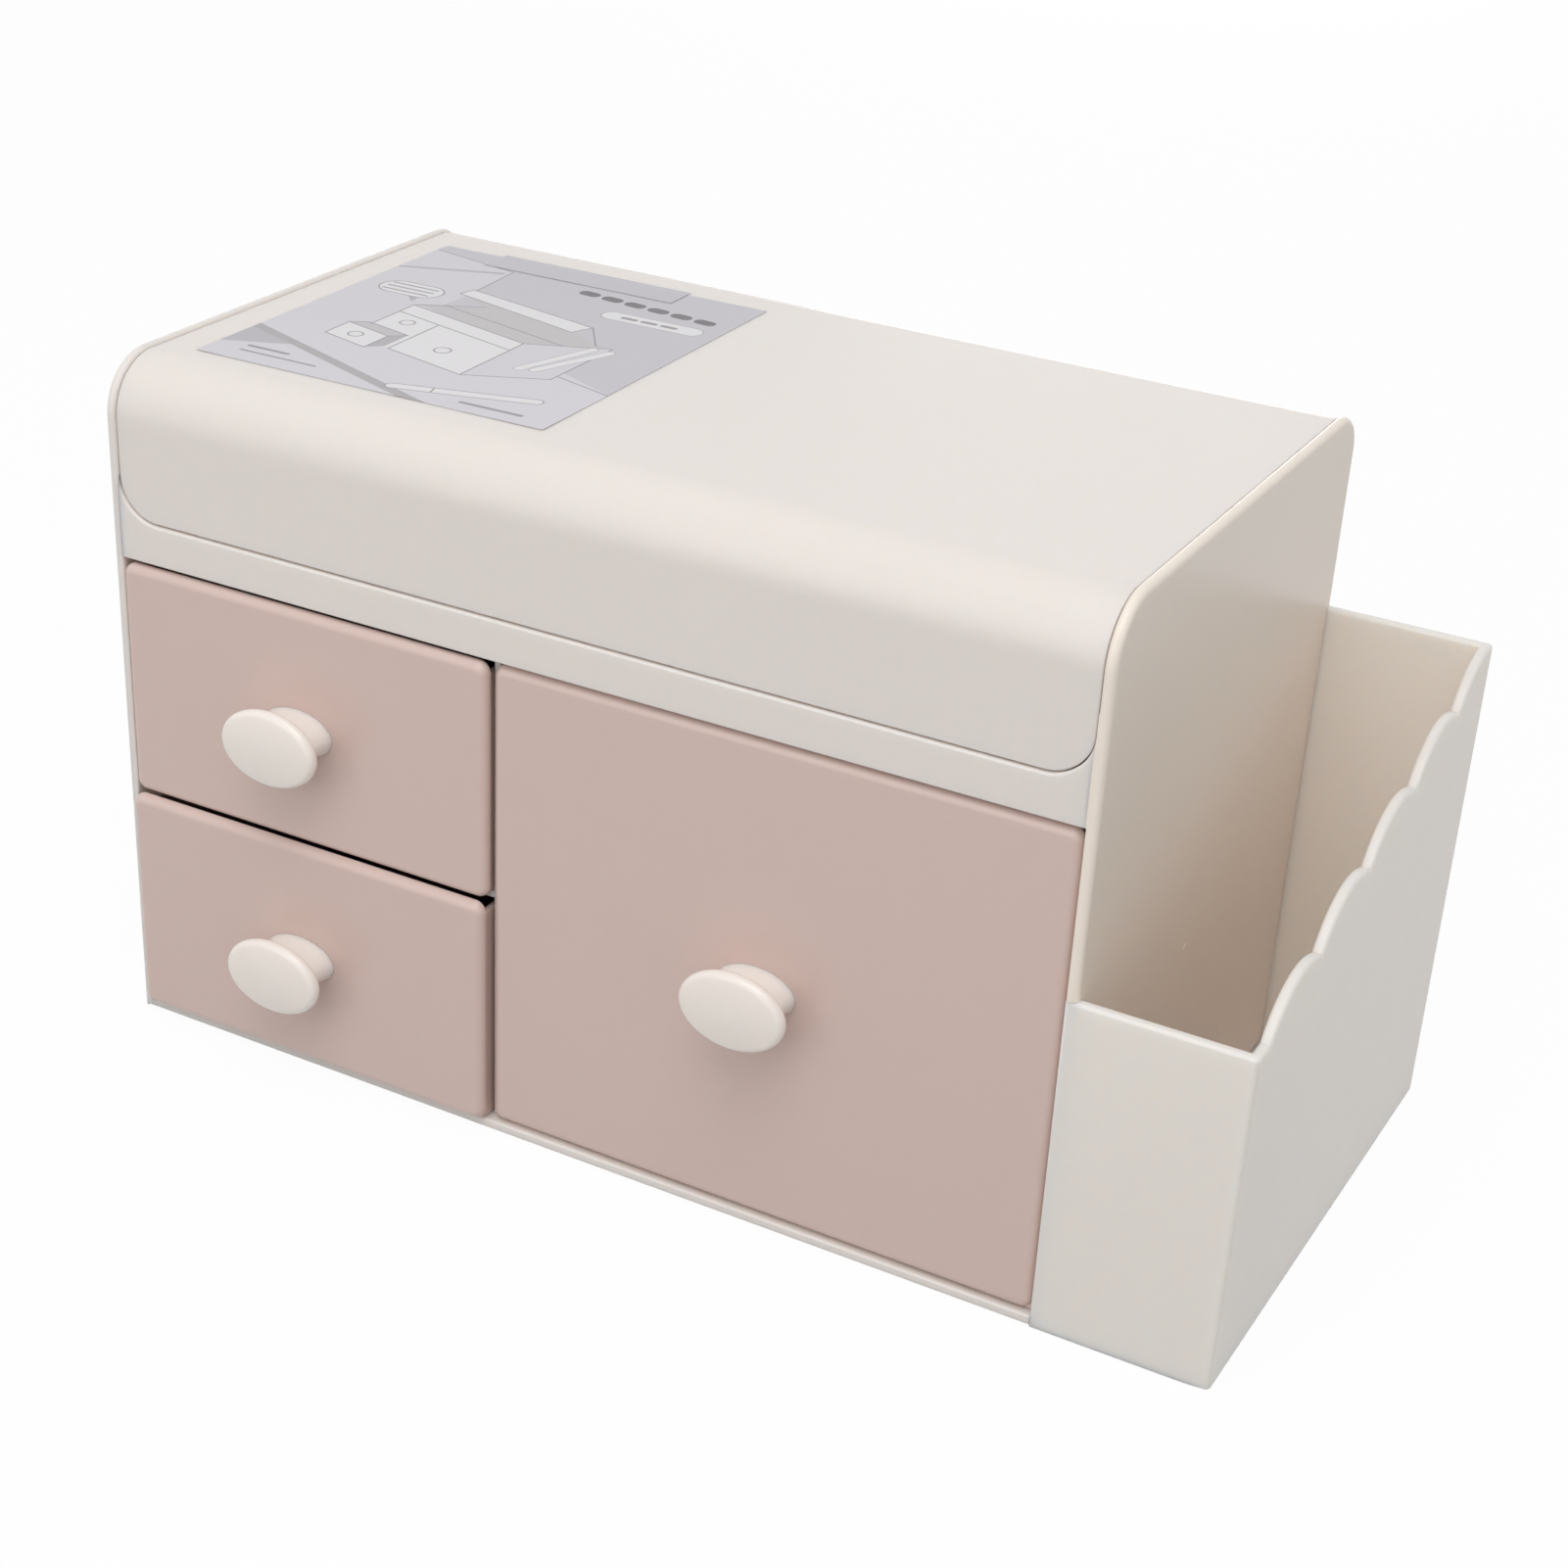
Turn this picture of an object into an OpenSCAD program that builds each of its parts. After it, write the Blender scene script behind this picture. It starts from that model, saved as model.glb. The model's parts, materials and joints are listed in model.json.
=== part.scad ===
// Desktop mini drawers: a small cabinet with a flip-up lid, three drawers and a pen box at its right side.
// Millimetres. X runs to the right, Y to the back and Z up.
// The origin lies on the resting surface, at the middle of the footprint of cabinet and pen box.

/* [Cabinet] */
// Width over the two side panels
cabinet_w = 247; // [200:1:320]
// Depth of the side panels, from front edge to back edge
cabinet_d = 140; // [125:1:200]
// Height of the side panels
cabinet_h = 169; // [160:1:220]
// Thickness of each side panel
panel_t = 2.6; // [2.2:0.1:4]
// Radius of the front top corner of the side panels
panel_front_r = 14; // [8:0.5:20]
// Radius of the back top corner of the side panels
panel_back_r = 10; // [9:0.5:14]
// Radius of the two bottom corners of the side panels
panel_foot_r = 1.2; // [0.5:0.1:2]
// Thickness of the base panel
base_t = 2.6; // [2:0.1:4]
// Thickness of the back panel
back_t = 2.2; // [1.6:0.1:3]
// Clearance between the back panel's top edge and the turning lid
back_gap = 0.6; // [0.4:0.1:1.5]

/* [Rail and top tray] */
// Height of the front rail's lower edge above the resting surface
rail_z = 121.7; // [118:0.1:126]
// Thickness of the front rail
rail_t = 2.6; // [2:0.1:4]
// Height of the hollow corners that rise beside the lid's lower corners
rail_horn_h = 8; // [4:0.5:9]
// Thickness of the top tray's floor
tray_floor_t = 2; // [1.5:0.1:3]
// Thickness of the top tray's dividers
tray_wall_t = 1.6; // [1.2:0.1:2.5]
// Height of the top tray's dividers above its floor
tray_wall_h = 20; // [10:1:26]
// Thickness of the tray's rear wall, which stops the open lid
tray_stop_t = 2.2; // [1.6:0.1:3]
// Distance of the lengthwise divider behind the front edge of the cabinet
tray_cross_y = 72; // [40:1:90]
// Clearance between the front ends of the dividers and the lid
tray_gap = 1; // [0.5:0.1:2]

/* [Lid] */
// Thickness of the lid
lid_t = 2.4; // [2:0.1:3]
// Depth of the lid's outer surface below the edges of the side panels
lid_sink = 0.6; // [0.3:0.1:1]
// Clearance between the lid's ends and the side panels
lid_end_gap = 0.4; // [0.3:0.1:0.8]
// Height of the lid's lower front edge above the resting surface
lid_edge_z = 132; // [129:0.5:136]
// Radius of the lid's two lower front corners
lid_corner_r = 10; // [9:0.5:12]
// Clearance under the lid's lower front edge
lid_edge_gap = 0.6; // [0.4:0.1:1]
// How far the lid's rolled rear edge reaches below the height of the hinge, as an angle
lid_roll_angle = 40; // [20:1:42]
// Angle at which the open lid comes against its stop
lid_open_angle = 100; // [90:1:105]
// Clearance that is left at the stop
lid_stop_gap = 0.3; // [0.2:0.1:0.5]
// Radius of the ears that carry the hinge pins
lid_ear_r = 6; // [4:0.5:6.5]
// Radius of the hinge pins
pin_r = 2.5; // [1.5:0.1:3]
// Length of the hinge pins inside the side panels
pin_seat = 1.5; // [1:0.1:1.6]
// Radial clearance of the hinge pins in their sockets
pin_fit = 0.08; // [0.05:0.01:0.1]
// Clearance at the end of each hinge pin
pin_end_gap = 0.2; // [0.1:0.05:0.3]

/* [Paper sheet] */
// Width of the sheet
sheet_w = 92.5; // [60:0.5:100]
// Length of the sheet, front to back
sheet_l = 102.5; // [60:0.5:104]
// Thickness of the sheet
sheet_t = 0.2; // [0.1:0.05:0.4]
// Distance of the sheet's middle from the cabinet's left face
sheet_x = 57.7; // [55:0.1:80]
// Distance of the sheet's middle from the cabinet's front
sheet_y = 70.4; // [69:0.1:74]
// Turn of the sheet, seen from above
sheet_turn = 0.9; // [0:0.1:1.5]
// Distance of the tape's middle left of the sheet's middle
tape_x = 2.7; // [0:0.1:8]
// Length of the strip of tape over the sheet's rear edge
tape_l = 54; // [30:1:70]
// Width of the strip of tape
tape_w = 10.5; // [6:0.5:14]
// Thickness of the strip of tape
tape_t = 0.15; // [0.1:0.05:0.3]
// How far the tape reaches behind the sheet
tape_lap = 2; // [1:0.5:3]

/* [Divider and shelf] */
// Distance from the cabinet's left face to the middle of the centre divider
divider_x = 104.3; // [90:0.1:130]
// Thickness of the centre divider
divider_t = 1.6; // [1.2:0.1:2.5]
// Thickness of the shelf between the small drawers
shelf_t = 1.6; // [1.2:0.1:2.5]

/* [Drawers] */
// Thickness of the drawer fronts
front_t = 2.6; // [2:0.1:4]
// Depth of the drawer fronts behind the front edge of the cabinet
front_sink = 0.4; // [0:0.1:1]
// Radius of the corners of the drawer fronts
front_r = 3; // [1:0.1:4]
// Gap between a drawer front and the side panel beside it
front_side_gap = 0.5; // [0.4:0.1:1]
// Gap between neighbouring drawer fronts
front_mid_gap = 1; // [0.6:0.1:1.4]
// Gap between the top drawer fronts and the rail
front_top_gap = 1.2; // [0.6:0.1:2]
// Gap between the bottom drawer fronts and the base panel
front_base_gap = 0.6; // [0.4:0.1:1.2]
// Clearance between a closed drawer front and the edges behind it
front_seat_gap = 0.3; // [0.2:0.1:0.6]
// Thickness of the drawer walls
drawer_wall_t = 1.8; // [1.2:0.1:2.5]
// Thickness of the drawer floors
drawer_floor_t = 1.8; // [1.2:0.1:2.5]
// Clearance at each side of a drawer
drawer_side_gap = 0.6; // [0.4:0.1:1]
// Clearance under a drawer
drawer_under_gap = 0.3; // [0.2:0.1:0.5]
// Clearance behind a closed drawer
drawer_back_gap = 1; // [0.5:0.1:3]
// Depth of the drawer walls' top edge below the top edge of the front
drawer_wall_drop = 3; // [2:0.5:8]
// How far the upper small drawer stands open at rest, as photographed
upper_ajar = 1.4; // [0:0.1:6]
// How far the lower small drawer stands open at rest, as photographed
lower_ajar = 3.3; // [0:0.1:6]

/* [Knobs] */
// Distance of the knobs left of the middle of the drawer fronts
knob_shift = 1.1; // [0:0.1:3]
// Distance of the knobs below the middle of the drawer fronts
knob_drop = 0.8; // [0:0.1:3]
// Width of the oval knob head
knob_w = 26; // [24:0.2:30]
// Height of the oval knob head
knob_h = 18.6; // [17.4:0.2:19.8]
// Radius of the narrow ends of the oval head
knob_end_r = 8; // [7.6:0.1:8.4]
// Distance that the knob stands out from the drawer front
knob_out = 13; // [11:0.2:18]
// Radius of the round rim of the knob head
knob_rim_r = 1.7; // [1:0.1:2.2]
// Width of the domed band inside the rim
knob_dome_w = 6; // [4:0.1:7]
// Radius of the dome, seen across the band
knob_dome_r = 12; // [9:0.5:20]
// Width of the stem's oval foot
stem_w = 19.6; // [17.6:0.2:21]
// Height of the stem's oval foot
stem_h = 11.8; // [11:0.1:12.6]
// Radius of the narrow ends of the oval foot
stem_end_r = 5.1; // [4.8:0.1:5.3]
// How far the stem draws in from its foot to the knob head
stem_flare = 1.1; // [0.4:0.1:1.6]
// Radius of the screw's shank
screw_r = 1.25; // [1:0.05:1.5]
// Length of the screw in the knob
screw_bite = 7; // [5:0.5:8]
// Radius of the screw head
screw_head_r = 3; // [2.4:0.1:3.6]
// Height of the screw head
screw_head_h = 1.6; // [1:0.1:2.2]
// Clearance at the end of the screw
screw_end_gap = 0.3; // [0.1:0.1:1]
// Radial clearance of the screw in the drawer front
screw_gap = 0.35; // [0.1:0.05:0.6]
// Radial clearance of the screw in the knob
screw_fit = 0.05; // [0.02:0.01:0.1]

/* [Pen box] */
// Width of the pen box beyond the right side panel
pen_w = 39; // [30:0.5:60]
// Thickness of the pen box walls
pen_t = 2.6; // [2:0.1:3.5]
// Thickness of the pen box floor
pen_floor_t = 2.6; // [2:0.1:4]
// Height of the pen box front wall
pen_front_h = 82.5; // [60:0.5:84]
// Length of the flat at the front of the scalloped edge
scallop_flat = 6.8; // [4:0.1:10]
// Length of one scallop, front to back
scallop_run = 28.1; // [20:0.1:30]
// Rise of one scallop
scallop_rise = 7.2; // [4:0.1:7.8]
// Radius of the scallops
scallop_r = 22.4; // [18:0.1:26]

/* [Hidden] */
$fn = 96;

body_colour = [0.93, 0.90, 0.87];
drawer_colour = [0.78, 0.71, 0.68];
knob_colour = [0.95, 0.93, 0.90];
paper_colour = [0.85, 0.84, 0.88];
tape_colour = [0.76, 0.75, 0.80];
steel_colour = [0.62, 0.62, 0.64];

// How far a cutting shape reaches past the face that it cuts
cut = 1;
// Radius of an oval's side arcs as a share of the radius that would just touch the end arcs
arc_crossing = 0.88;

// Outer faces of the whole object
left_x = -(cabinet_w + pen_w) / 2;
right_x = left_x + cabinet_w;
pen_x = right_x + pen_w;
front_y = -cabinet_d / 2;
back_y = cabinet_d / 2;

// Space between the side panels
inner_left = left_x + panel_t;
inner_right = right_x - panel_t;
back_inner_y = back_y - back_t;

// Hinge line of the lid: the centre of the side panels' back top corner
hinge_y = back_y - panel_back_r;
hinge_z = cabinet_h - panel_back_r;
roll_r = panel_back_r - lid_sink;
back_reach = panel_back_r - back_t;
back_clear_r = roll_r + back_gap;
back_top_z = hinge_z - sqrt(pow(back_clear_r, 2) - pow(back_reach, 2));
stop_y = hinge_y + roll_r * cos(lid_roll_angle + lid_open_angle) - lid_stop_gap;

// Lid
lid_left = inner_left + lid_end_gap;
lid_right = inner_right - lid_end_gap;
lid_front = front_y + lid_sink;
lid_top = cabinet_h - lid_sink;

// Front rail and top tray
rail_top = lid_edge_z - lid_edge_gap;
tray_top = rail_z + tray_floor_t;
tray_front = front_y + rail_t;
tray_wall_front = lid_front + lid_t + tray_gap;

// Centre divider and shelf
divider_mid = left_x + divider_x;
divider_left = divider_mid - divider_t / 2;
divider_right = divider_mid + divider_t / 2;
seat_y = front_y + front_sink + front_t + front_seat_gap;

// Drawer fronts
front_bottom = base_t + front_base_gap;
front_top = rail_z - front_top_gap;
small_front_h = (front_top - front_bottom - front_mid_gap) / 2;
lower_top = front_bottom + small_front_h;
upper_bottom = lower_top + front_mid_gap;
shelf_mid = lower_top + front_mid_gap / 2;
shelf_bottom = shelf_mid - shelf_t / 2;
shelf_top = shelf_mid + shelf_t / 2;
front_left = inner_left + front_side_gap;
front_right = inner_right - front_side_gap;
small_right = divider_mid - front_mid_gap / 2;
large_left = divider_mid + front_mid_gap / 2;
face_y = front_y + front_sink;
dome_across = knob_dome_r - knob_rim_r;
head_z = knob_out - knob_dome_r + sqrt(pow(dome_across, 2) - pow(knob_dome_w - knob_rim_r, 2)) - knob_rim_r;

// Each drawer: left, right, bottom and top of its front; left, right and floor of its bay; opening at rest
upper = [front_left, small_right, upper_bottom, front_top, inner_left, divider_left, shelf_top, upper_ajar];
lower = [front_left, small_right, front_bottom, lower_top, inner_left, divider_left, base_t, lower_ajar];
large = [large_left, front_right, front_bottom, front_top, divider_right, inner_right, base_t, 0];

// Scallops of the pen box
scallop_count = ceil((cabinet_d - scallop_flat) / scallop_run);
scallop_chord = sqrt(pow(scallop_run, 2) + pow(scallop_rise, 2));
scallop_sink = sqrt(pow(scallop_r, 2) - pow(scallop_chord / 2, 2));
function scallop_centre(i) = [
    scallop_flat + scallop_run * (i + 0.5) + scallop_sink * scallop_rise / scallop_chord,
    pen_front_h + scallop_rise * (i + 0.5) - scallop_sink * scallop_run / scallop_chord
];
pen_back_h = scallop_centre(scallop_count - 1)[1] + scallop_r;

// ---- shared shapes ----

// Extrudes a flat shape drawn in (Y, Z) along X
module along_x(x0, x1) {
    translate([x0, 0, 0]) rotate([90, 0, 90]) linear_extrude(x1 - x0) children();
}

// Extrudes a flat shape drawn in (X, Z) along Y
module along_y(y0, y1) {
    translate([0, y1, 0]) rotate([90, 0, 0]) linear_extrude(y1 - y0) children();
}

module block(low, high) {
    translate(low) cube(high - low);
}

// What a round of radius r removes from the corner at the origin of the first quadrant
module corner_cut(r) {
    difference() {
        translate([-cut, -cut]) square(r + cut);
        translate([r, r]) circle(r);
    }
}

module round_rectangle(low, high, r) {
    difference() {
        translate(low) square(high - low);
        translate(low) corner_cut(r);
        translate([high[0], low[1]]) mirror([1, 0]) corner_cut(r);
        translate([low[0], high[1]]) mirror([0, 1]) corner_cut(r);
        translate(high) rotate(180) corner_cut(r);
    }
}

// Side outline of a shape that keeps the distance inset from the side panels' edges
module side_outline(inset) {
    difference() {
        translate([front_y + inset, 0]) square([cabinet_d - 2 * inset, cabinet_h - inset]);
        translate([front_y + inset, cabinet_h - inset]) mirror([0, 1]) corner_cut(panel_front_r - inset);
        translate([back_y - inset, cabinet_h - inset]) rotate(180) corner_cut(panel_back_r - inset);
    }
}

// ---- cabinet ----

module panel_outline() {
    difference() {
        side_outline(0);
        translate([front_y, 0]) corner_cut(panel_foot_r);
        translate([back_y, 0]) mirror([1, 0]) corner_cut(panel_foot_r);
    }
}

module hinge_socket() {
    depth = pin_seat + pin_end_gap;
    translate([0, hinge_y, hinge_z]) rotate([0, 90, 0]) {
        translate([0, 0, inner_left - depth]) cylinder(r = pin_r + pin_fit, h = depth + cut);
        translate([0, 0, inner_right - cut]) cylinder(r = pin_r + pin_fit, h = depth + cut);
    }
}

module left_side_panel() {
    color(body_colour) difference() {
        along_x(left_x, inner_left) panel_outline();
        hinge_socket();
    }
}

// The front and back walls of the pen box lap over the edges of this panel
module right_side_panel() {
    color(body_colour) difference() {
        along_x(inner_right, right_x) panel_outline();
        hinge_socket();
        block([inner_right - cut, front_y - cut, -cut], [right_x + cut, front_y + pen_t, pen_front_h]);
        block([inner_right - cut, back_y - pen_t, -cut], [right_x + cut, back_y + cut, pen_back_h]);
    }
}

module scallop_outline() {
    line_rise = (cabinet_d - scallop_flat) * scallop_rise / scallop_run;
    translate([front_y, 0]) {
        polygon([
            [0, 0], [cabinet_d, 0], [cabinet_d, pen_front_h + line_rise],
            [scallop_flat, pen_front_h], [0, pen_front_h]
        ]);
        intersection() {
            square([cabinet_d, pen_back_h]);
            for (i = [0 : scallop_count - 1]) translate(scallop_centre(i)) circle(scallop_r);
        }
    }
}

module pen_box() {
    color(body_colour) {
        block([inner_right, front_y, 0], [pen_x, front_y + pen_t, pen_front_h]);
        block([inner_right, back_y - pen_t, 0], [pen_x, back_y, pen_back_h]);
        block([right_x, front_y, 0], [pen_x, back_y, pen_floor_t]);
        along_x(pen_x - pen_t, pen_x) scallop_outline();
    }
}

module base_panel() {
    color(body_colour) block([inner_left, front_y, 0], [inner_right, back_inner_y, base_t]);
}

module back_panel() {
    color(body_colour) block([inner_left, back_inner_y, 0], [inner_right, back_y, back_top_z]);
}

// Hollow corner beside one of the lid's lower corners, drawn for the left end
module rail_horn() {
    difference() {
        translate([inner_left, rail_top - cut]) square([lid_corner_r + lid_end_gap, rail_horn_h + cut]);
        translate([lid_left + lid_corner_r, lid_edge_z + lid_corner_r]) circle(lid_corner_r + lid_edge_gap);
    }
}

module front_rail() {
    color(body_colour) along_y(front_y, front_y + rail_t) {
        translate([inner_left, rail_z]) square([inner_right - inner_left, rail_top - rail_z]);
        rail_horn();
        translate([inner_left + inner_right, 0]) mirror([1, 0]) rail_horn();
    }
}

module top_tray() {
    wall_z = tray_top + tray_wall_h;
    stop_front = stop_y - tray_stop_t;
    cross_y = front_y + tray_cross_y;
    color(body_colour) {
        block([inner_left, tray_front, rail_z], [inner_right, back_inner_y, tray_top]);
        block([divider_left, tray_wall_front, rail_z], [divider_left + tray_wall_t, stop_y, wall_z]);
        block([divider_left, cross_y, rail_z], [inner_right, cross_y + tray_wall_t, wall_z]);
        block([inner_left, stop_front, rail_z], [inner_right, stop_y, back_top_z]);
    }
}

module centre_divider() {
    color(body_colour) block([divider_left, seat_y, base_t], [divider_right, back_inner_y, rail_z]);
}

module drawer_shelf() {
    color(body_colour) block([inner_left, seat_y, shelf_bottom], [divider_left, back_inner_y, shelf_top]);
}

// ---- lid ----

module lid_outline() {
    difference() {
        side_outline(lid_sink);
        side_outline(lid_sink + lid_t);
        translate([front_y - cut, -cut]) square([cabinet_d, lid_edge_z + cut]);
        translate([hinge_y, -cut]) square([cabinet_d, cabinet_h + 2 * cut]);
    }
    roll_reach = 2 * roll_r;
    translate([hinge_y, hinge_z]) intersection() {
        difference() {
            circle(roll_r);
            circle(roll_r - lid_t);
        }
        polygon([
            [-cut, 0], [-cut, roll_reach], [roll_reach, roll_reach],
            [roll_reach, -roll_reach * tan(lid_roll_angle)], [0, 0]
        ]);
    }
}

module ear_outline() {
    translate([hinge_y, hinge_z]) {
        circle(lid_ear_r);
        translate([-lid_ear_r, 0]) square([lid_ear_r, roll_r - lid_t / 2]);
        square([lid_ear_r, sqrt(pow(roll_r - lid_t / 2, 2) - pow(lid_ear_r, 2))]);
    }
}

module lid() {
    reach = lid_end_gap + pin_seat;
    color(body_colour) {
        difference() {
            along_x(lid_left, lid_right) lid_outline();
            along_y(lid_front - cut, lid_front + lid_t + cut) {
                translate([lid_left, lid_edge_z]) corner_cut(lid_corner_r);
                translate([lid_right, lid_edge_z]) mirror([1, 0]) corner_cut(lid_corner_r);
            }
        }
        along_x(lid_left, lid_left + lid_t) ear_outline();
        along_x(lid_right - lid_t, lid_right) ear_outline();
        translate([0, hinge_y, hinge_z]) rotate([0, 90, 0]) {
            translate([0, 0, lid_left - reach]) cylinder(r = pin_r, h = reach + lid_t / 2);
            translate([0, 0, lid_right - lid_t / 2]) cylinder(r = pin_r, h = reach + lid_t / 2);
        }
    }
}

module on_sheet() {
    translate([left_x + sheet_x, front_y + sheet_y, lid_top]) rotate(sheet_turn) children();
}

module lid_sheet() {
    color(paper_colour) on_sheet()
        translate([-sheet_w / 2, -sheet_l / 2, 0]) cube([sheet_w, sheet_l, sheet_t]);
}

// Lies on the sheet and steps down to the lid behind it
module sheet_tape() {
    tape_y = sheet_l / 2 + tape_lap - tape_w;
    color(tape_colour) on_sheet() translate([-tape_x - tape_l / 2, 0, 0]) {
        translate([0, tape_y, sheet_t]) cube([tape_l, tape_w, tape_t]);
        translate([0, sheet_l / 2, 0]) cube([tape_l, tape_lap, sheet_t + tape_t]);
    }
}

// ---- drawers ----

// Moves a drawer and what is on it from closed to where it stands at rest
module at_rest(d) {
    translate([0, -d[7], 0]) children();
}

module drawer(d) {
    box_left = d[4] + drawer_side_gap;
    box_right = d[5] - drawer_side_gap;
    box_bottom = d[6] + drawer_under_gap;
    box_top = d[3] - drawer_wall_drop;
    box_back = back_inner_y - drawer_back_gap;
    plate_back = face_y + front_t;
    color(drawer_colour) at_rest(d) difference() {
        union() {
            along_y(face_y, plate_back) round_rectangle([d[0], d[2]], [d[1], d[3]], front_r);
            block([box_left, plate_back, box_bottom], [box_right, box_back, box_top]);
        }
        block(
            [box_left + drawer_wall_t, plate_back, box_bottom + drawer_floor_t],
            [box_right - drawer_wall_t, box_back - drawer_wall_t, box_top + cut]
        );
        at_knob(d) translate([0, 0, -front_t - cut])
            cylinder(r = screw_r + screw_gap, h = front_t + 2 * cut);
    }
}

// Moves to the place of the knob on a closed drawer's front, with +Z pointing out of it
module at_knob(d) {
    knob_x = (d[0] + d[1]) / 2 - knob_shift;
    knob_z = (d[2] + d[3]) / 2 - knob_drop;
    translate([knob_x, face_y, knob_z]) rotate([90, 0, 0]) children();
}

// Solid of revolution whose edge profile is drawn left of x = 0
module disc(r) {
    rotate_extrude() intersection() {
        translate([r, 0]) children();
        square([r, knob_out]);
    }
}

// Oval with the same edge profile all round: two large discs cut the long sides and two small ones the ends
module oval_disc(oval_w, oval_h, end_r) {
    half_w = oval_w / 2;
    half_h = oval_h / 2;
    end_x = half_w - end_r;
    tangent_r = (pow(half_h, 2) + pow(end_x, 2) - pow(end_r, 2)) / (2 * (half_h - end_r));
    side_r = tangent_r * arc_crossing;
    intersection() {
        translate([0, half_h - side_r, 0]) disc(side_r) children();
        translate([0, side_r - half_h, 0]) disc(side_r) children();
        union() {
            translate([-end_x, 0, 0]) disc(end_r) children();
            translate([end_x, 0, 0]) disc(end_r) children();
            block([-end_x, -half_h, 0], [end_x, half_h, knob_out]);
        }
    }
}

// Round rim, then an arc that rises to the flat middle
module head_profile() {
    rim = [-knob_rim_r, head_z + knob_rim_r];
    crown = [-knob_dome_w, knob_out - knob_dome_r];
    translate(rim) circle(knob_rim_r);
    intersection() {
        translate(crown) circle(knob_dome_r);
        polygon([
            [-knob_dome_w, head_z], [rim[0], head_z], rim,
            crown + (rim - crown) * 2, [-knob_dome_w, 2 * knob_out]
        ]);
    }
    translate([-knob_w, head_z]) square([knob_w - knob_dome_w, knob_out - head_z]);
}

// Hollow flare from the foot up to the knob head
module stem_profile() {
    flare_r = (pow(head_z, 2) + pow(stem_flare, 2)) / (2 * stem_flare);
    difference() {
        translate([-knob_w, 0]) square([knob_w, head_z + knob_rim_r]);
        translate([flare_r - stem_flare, head_z]) circle(flare_r);
        translate([-stem_flare, head_z]) square([stem_flare + cut, knob_rim_r + cut]);
    }
}

module knob(d) {
    color(knob_colour) at_rest(d) at_knob(d) difference() {
        union() {
            oval_disc(knob_w, knob_h, knob_end_r) head_profile();
            oval_disc(stem_w, stem_h, stem_end_r) stem_profile();
        }
        translate([0, 0, -cut]) cylinder(r = screw_r + screw_fit, h = screw_bite + screw_end_gap + cut);
    }
}

module knob_screw(d) {
    color(steel_colour) at_rest(d) at_knob(d) {
        translate([0, 0, -front_t - screw_head_h]) cylinder(r = screw_head_r, h = screw_head_h);
        translate([0, 0, -front_t]) cylinder(r = screw_r, h = front_t + screw_bite);
    }
}

left_side_panel();
right_side_panel();
pen_box();
base_panel();
back_panel();
front_rail();
top_tray();
centre_divider();
drawer_shelf();
lid();
lid_sheet();
sheet_tape();
drawer(upper);  // upper_drawer
knob(upper);  // upper_knob
knob_screw(upper);  // upper_knob_screw
drawer(lower);  // lower_drawer
knob(lower);  // lower_knob
knob_screw(lower);  // lower_knob_screw
drawer(large);  // large_drawer
knob(large);  // large_knob
knob_screw(large);  // large_knob_screw
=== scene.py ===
import json
import math
import bmesh
import bpy
from mathutils import Matrix, Vector

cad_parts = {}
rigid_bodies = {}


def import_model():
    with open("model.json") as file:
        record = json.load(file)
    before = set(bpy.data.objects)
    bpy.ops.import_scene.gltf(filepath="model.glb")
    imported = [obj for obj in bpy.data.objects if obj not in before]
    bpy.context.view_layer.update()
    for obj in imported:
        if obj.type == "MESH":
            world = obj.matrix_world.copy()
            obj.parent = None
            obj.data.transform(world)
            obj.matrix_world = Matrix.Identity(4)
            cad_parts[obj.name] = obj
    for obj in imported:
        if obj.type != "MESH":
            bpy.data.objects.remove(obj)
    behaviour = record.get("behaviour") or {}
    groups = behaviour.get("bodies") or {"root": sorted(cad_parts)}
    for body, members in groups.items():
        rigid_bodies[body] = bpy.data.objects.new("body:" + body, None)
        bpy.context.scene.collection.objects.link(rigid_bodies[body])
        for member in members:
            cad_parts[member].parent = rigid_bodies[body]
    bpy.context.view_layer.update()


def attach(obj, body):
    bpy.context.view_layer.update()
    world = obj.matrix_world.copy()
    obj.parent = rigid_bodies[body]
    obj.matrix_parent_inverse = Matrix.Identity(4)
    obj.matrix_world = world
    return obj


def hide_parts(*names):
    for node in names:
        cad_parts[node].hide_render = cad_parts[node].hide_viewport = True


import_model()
for spare in [o for o in bpy.data.objects if o.name in ("Cube", "Light", "Camera")]:   # Blender's start-up objects
    bpy.data.objects.remove(spare)

mm = 0.001   # every size below is in millimetres
mergeGap = 0.004   # points closer than this are one
cutGap = 0.0003   # how close to a cutting plane a point counts as on it
anywhere = (None, None, None)


def clearSelection():
    if bpy.context.mode != "OBJECT":
        bpy.ops.object.mode_set(mode="OBJECT")
    bpy.ops.object.select_all(action="DESELECT")


def makeActive(piece):
    clearSelection()
    piece.select_set(True)
    bpy.context.view_layer.objects.active = piece


def settle(piece):   # puts the place, turn and scale into the mesh
    makeActive(piece)
    bpy.ops.object.transform_apply(location=True, rotation=True, scale=True)


def block(name, low, high):
    clearSelection()
    low, high = Vector(low) * mm, Vector(high) * mm
    bpy.ops.mesh.primitive_cube_add(size=1, location=(low + high) / 2)
    piece = bpy.context.object
    piece.name = name
    piece.scale = high - low
    settle(piece)
    return piece


def rod(name, start, end, radius, sides):
    clearSelection()
    start, end = Vector(start) * mm, Vector(end) * mm
    turn = (end - start).to_track_quat("Z", "Y").to_euler()
    bpy.ops.mesh.primitive_cylinder_add(
        vertices=sides, radius=radius * mm, depth=(end - start).length, location=(start + end) / 2, rotation=turn)
    piece = bpy.context.object
    piece.name = name
    settle(piece)
    return piece


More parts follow.
